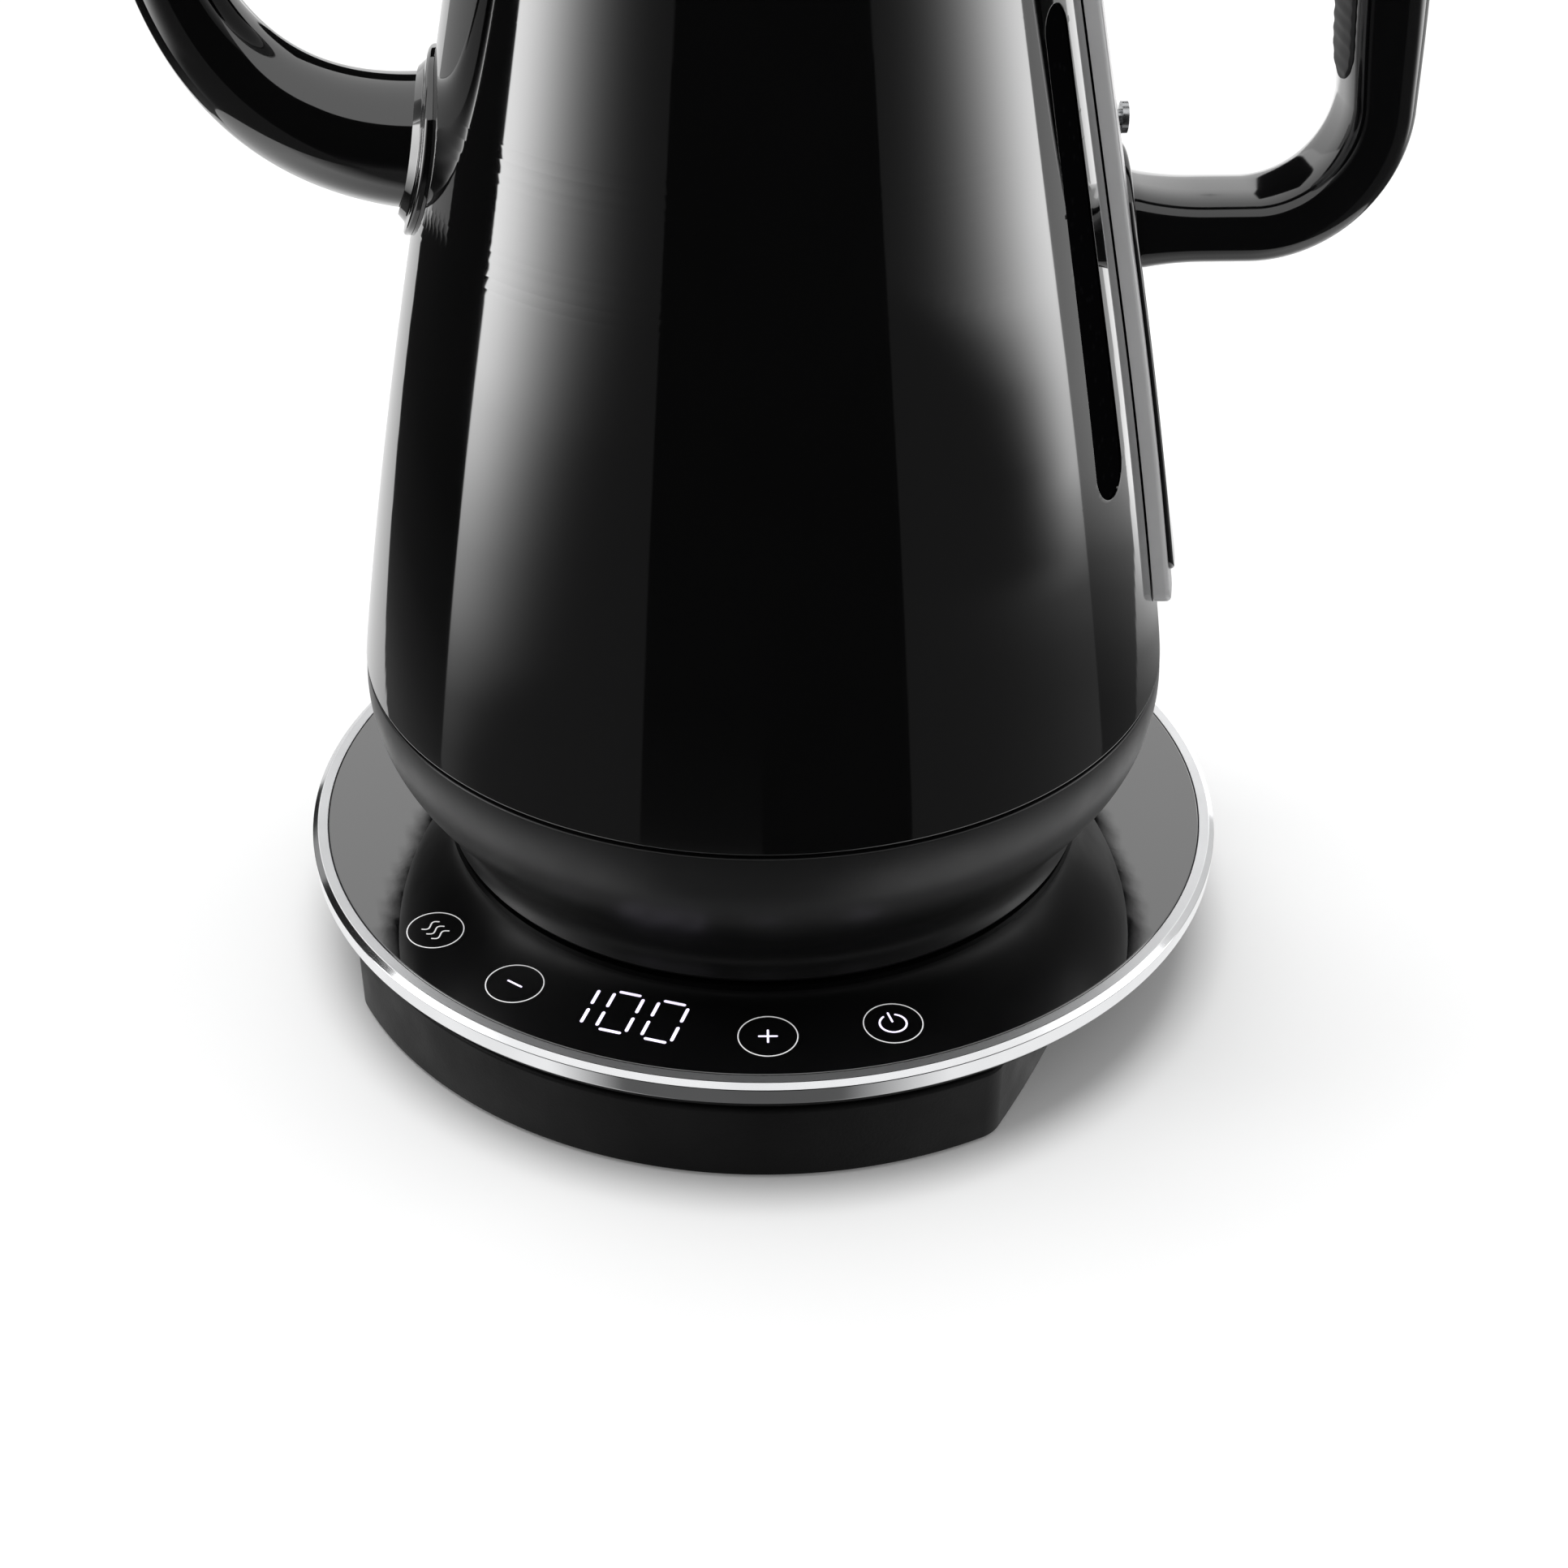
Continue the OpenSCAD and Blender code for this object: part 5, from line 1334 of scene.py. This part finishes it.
REAR = [(-420, 0.06), (-104, 0.11), (-79, 0.2), (-50, 0.6), (-30, 0.96), (9, 1.75), (48, 1.65),
        (900, 1.6)]
REAR_FROM = [(-420, 100), (-147, 119), (-127, 122), (-104, 124.5), (-88, 127), (0, 129),
             (900, 129)]
RIM_FROM = [(-420, 100), (-157, 121), (-139, 126), (-105, 129.5), (-60, 132.5), (-20, 135),
            (40, 137), (60, 127), (80, 115), (900, 115)]
DUSK = [(-420, 0.16), (-143, 0.1), (-120, 0.07), (-100, 0.05), (-60, 0.025), (0, 0.015),
        (900, 0.015)]


def between(rows, x):
    """A table's value at x, along straight lines between its rows."""
    for a, b in zip(rows, rows[1:]):
        if a[0] <= x <= b[0]:
            return a[1] + (b[1] - a[1]) * (x - a[0]) / (b[0] - a[0])
    return rows[-1][1]


class KETTLE_OT_stage(BuildStep):
    """Floor, strip lights, lamp, world and camera"""

    bl_idname = "kettle.stage"
    bl_label = "Stage"

    def build(self, context):
        s = context.scene.kettle_studio
        self.floor(s)
        self.tent(s)
        self.lamp(s)
        self.world(context, s)
        data = bpy.data.cameras.new("camera")
        data.sensor_width, data.lens, data.shift_x = 36.0, s.lens, s.shift
        data.clip_start, data.clip_end = 0.01, 50.0
        camera = bpy.data.objects.new("camera", data)
        camera.location = (s.camera_side, s.camera_back, s.camera_height)
        camera.rotation_euler = (math.pi / 2 - s.camera_down, 0.0, s.camera_turn)
        context.scene.collection.objects.link(camera)
        context.scene.camera = camera
        context.scene.view_settings.view_transform = "Standard"

    def sheet(self, name, points, faces, tree):
        """Stage object with its own material."""
        mesh = bpy.data.meshes.new(name)
        mesh.from_pydata(points, [], faces)
        mesh.materials.append(tree)
        made = bpy.data.objects.new(name, mesh)
        bpy.context.scene.collection.objects.link(made)
        return made

    def floor(self, s):
        """White table that keeps the kettle's shadow."""
        t = Surface("Table")
        slow = t.noise(6, 3.0)
        white = (s.floor_white,) * 3
        tone = t.blend(t.spread(slow, 0, 1), times(white, 0.99), white)
        base = t.add("ShaderNodeBsdfDiffuse")
        t.links.new(tone, base.inputs["Color"])
        glow = t.add("ShaderNodeEmission", Strength=0.05)
        both = t.add("ShaderNodeAddShader")
        t.links.new(base.outputs["BSDF"], both.inputs[0])
        t.links.new(glow.outputs["Emission"], both.inputs[1])
        t.links.new(both.outputs["Shader"], t.out.inputs["Surface"])
        half = 4.0
        table = self.sheet("table", [(-half, -half, 0), (half, -half, 0), (half, half, 0),
                                     (-half, half, 0)], [(0, 1, 2, 3)], t.material)
        table.visible_glossy = False

    def tent(self, s):
        """Strip lights and dark flags round the kettle, and below them a stand-in for the table
        with its shade painted in, seen only as reflections.
        """
        across = 720
        levels = [TENT_FOOT, -330, -240, TABLE_EDGE - 1, TABLE_EDGE + 1, *range(-190, 249, 6), 249,
                  *range(251, 660, 4), 662, s.tent_height / MM]
        points, faces, shares = [], [], []
        for j, height in enumerate(levels):
            # above the base the edges between light and dark are softened
            blur = (-0.4, -0.13, 0.13, 0.4) if height > CARD_FOOT - 1 else (0,)
            for k in range(across):
                turn = 360 * k / across - 180
                a = math.radians(-90 - turn) + s.camera_turn
                x, y = s.tent_radius * math.cos(a), s.tent_radius * math.sin(a)
                points.append((x, y, height * MM))
                shares.append(sum(self.light(s, turn + d, height) for d in blur) / len(blur))
                if j:
                    n, low = (k + 1) % across, (j - 1) * across
                    faces.append((low + k, low + n, low + across + n, low + across + k))
        # a dark cap closes the tent's foot: painted shade of the table and the base under the
        # kettle
        middle = len(points)
        points.append((0, 0, TENT_FOOT * MM))
        shares.append(0.1)
        faces += [(middle, (k + 1) % across, k) for k in range(across)]
        t = Surface("Strip lights")
        glow = t.add("ShaderNodeAttribute", attribute_name="light")
        lamp = t.add("ShaderNodeEmission")
        t.links.new(glow.outputs["Fac"], lamp.inputs["Strength"])
        t.links.new(lamp.outputs["Emission"], t.out.inputs["Surface"])
        tent = self.sheet("tent", points, faces, t.material)
        store = tent.data.attributes.new("light", "FLOAT", "POINT")
        store.data.foreach_set("value", shares)
        for ray in ("camera", "diffuse", "shadow", "transmission", "volume_scatter"):
            setattr(tent, f"visible_{ray}", False)

    def light(self, s, turn, height):
        """Radiance at a height and at degrees round from the camera's side to the left."""
        if height > CARD_FOOT and abs(turn) > 125:
            dark = abs(turn) > between(CARD_FROM, height) and height < CARD_TOP
            return 0.01 if dark else 1.0
        if height > between(WHITE_FROM, abs(turn)):
            return 1.0
        # the table seen in reflections, with its shade painted in: dark in front of the kettle,
        # lighter to the sides
        if height < TABLE_EDGE:
            gap = (turn - 32) / 18 if turn > 0 else (-turn - 18) / 26
            return 0.1 + 0.85 * min(max(gap, 0.0), 1.0)
        for turned, (near, far, fall, reach_of), power in (
                (turn, LEFT_STRIP, s.left_strip), (-turn, RIGHT_STRIP, s.right_strip)):
            if near < turned <= far:
                level = height - STRIP_LEAN * (far - turned)
                spread = (far - turned) / between(reach_of, level)
                return power * between(fall, level) * math.exp(-spread**2) + STRIP_HAZE
        if turn > between(RIM_FROM, height):
            return 0.78 if height < 60 or turn > 142 else 0.3
        if -turn > RIGHT_STRIP[1]:
            level = height + REAR_LEAN * (-turn - RIGHT_STRIP[1])
            return between(REAR if -turn > between(REAR_FROM, height) else SIDE, level)
        return between(DUSK, height) if turn > 0 else 0.015

    def lamp(self, s):
        """One broad soft lamp overhead, a little to the left and behind."""
        data = bpy.data.lights.new("key_lamp", "SUN")
        data.energy, data.angle = s.key_light, s.key_spread
        lamp = bpy.data.objects.new("key_lamp", data)
        lamp.rotation_euler = (0.0, s.key_lean, s.key_side)
        bpy.context.scene.collection.objects.link(lamp)
        lamp.visible_glossy = False

    def world(self, context, s):
        """White surroundings for the camera, reflections and glass; softer light on the rest."""
        world = bpy.data.worlds.new("studio")
        world.use_nodes = True
        nodes, links = world.node_tree.nodes, world.node_tree.links
        nodes.clear()
        path = nodes.new("ShaderNodeLightPath")
        white = path.outputs["Is Camera Ray"]
        for ray in ("Is Glossy Ray", "Is Transmission Ray"):
            either = nodes.new("ShaderNodeMath")
            either.operation = "MAXIMUM"
            links.new(white, either.inputs[0])
            links.new(path.outputs[ray], either.inputs[1])
            white = either.outputs["Value"]
        level = nodes.new("ShaderNodeMapRange")
        level.inputs["To Min"].default_value = s.world_light
        level.inputs["To Max"].default_value = 1.0
        links.new(white, level.inputs["Value"])
        sky = nodes.new("ShaderNodeBackground")
        links.new(level.outputs["Result"], sky.inputs["Strength"])
        out = nodes.new("ShaderNodeOutputWorld")
        links.new(sky.outputs["Background"], out.inputs["Surface"])
        sky.inputs["Color"].default_value = (1.0, 1.0, 1.0, 1.0)
        context.scene.world = world


STEPS = (KETTLE_OT_finishes, KETTLE_OT_plinth, KETTLE_OT_panel, KETTLE_OT_marks, KETTLE_OT_bowl,
         KETTLE_OT_body, KETTLE_OT_spout, KETTLE_OT_handle, KETTLE_OT_lid, KETTLE_OT_stage)


class KETTLE_PT_sidebar(bpy.types.Panel):
    """Kettle steps and sizes"""

    bl_idname = "KETTLE_PT_sidebar"
    bl_label = "Glass base kettle"
    bl_space_type = "VIEW_3D"
    bl_region_type = "UI"
    bl_category = "Kettle"

    def draw(self, context):
        for step in STEPS:
            self.layout.operator(step.bl_idname)
        for group in GROUPS:
            box = self.layout.box()
            source = getattr(context.scene, group)
            for prop in source.bl_rna.properties:
                if prop.identifier not in {"rna_type", "name"}:
                    box.prop(source, prop.identifier)


CLASSES = (*GROUPS.values(), *STEPS, KETTLE_PT_sidebar)


def register():
    """Adds the classes and their settings."""
    for item in CLASSES:
        bpy.utils.register_class(item)
    for group, kind in GROUPS.items():
        setattr(bpy.types.Scene, group, bpy.props.PointerProperty(type=kind))


def unregister():
    """Takes the settings and the classes away."""
    for group in GROUPS:
        delattr(bpy.types.Scene, group)
    for item in reversed(CLASSES):
        bpy.utils.unregister_class(item)


def main():
    register()
    for step in STEPS:
        family, name = step.bl_idname.split(".")
        getattr(getattr(bpy.ops, family), name)()


if __name__ == "__main__":
    main()
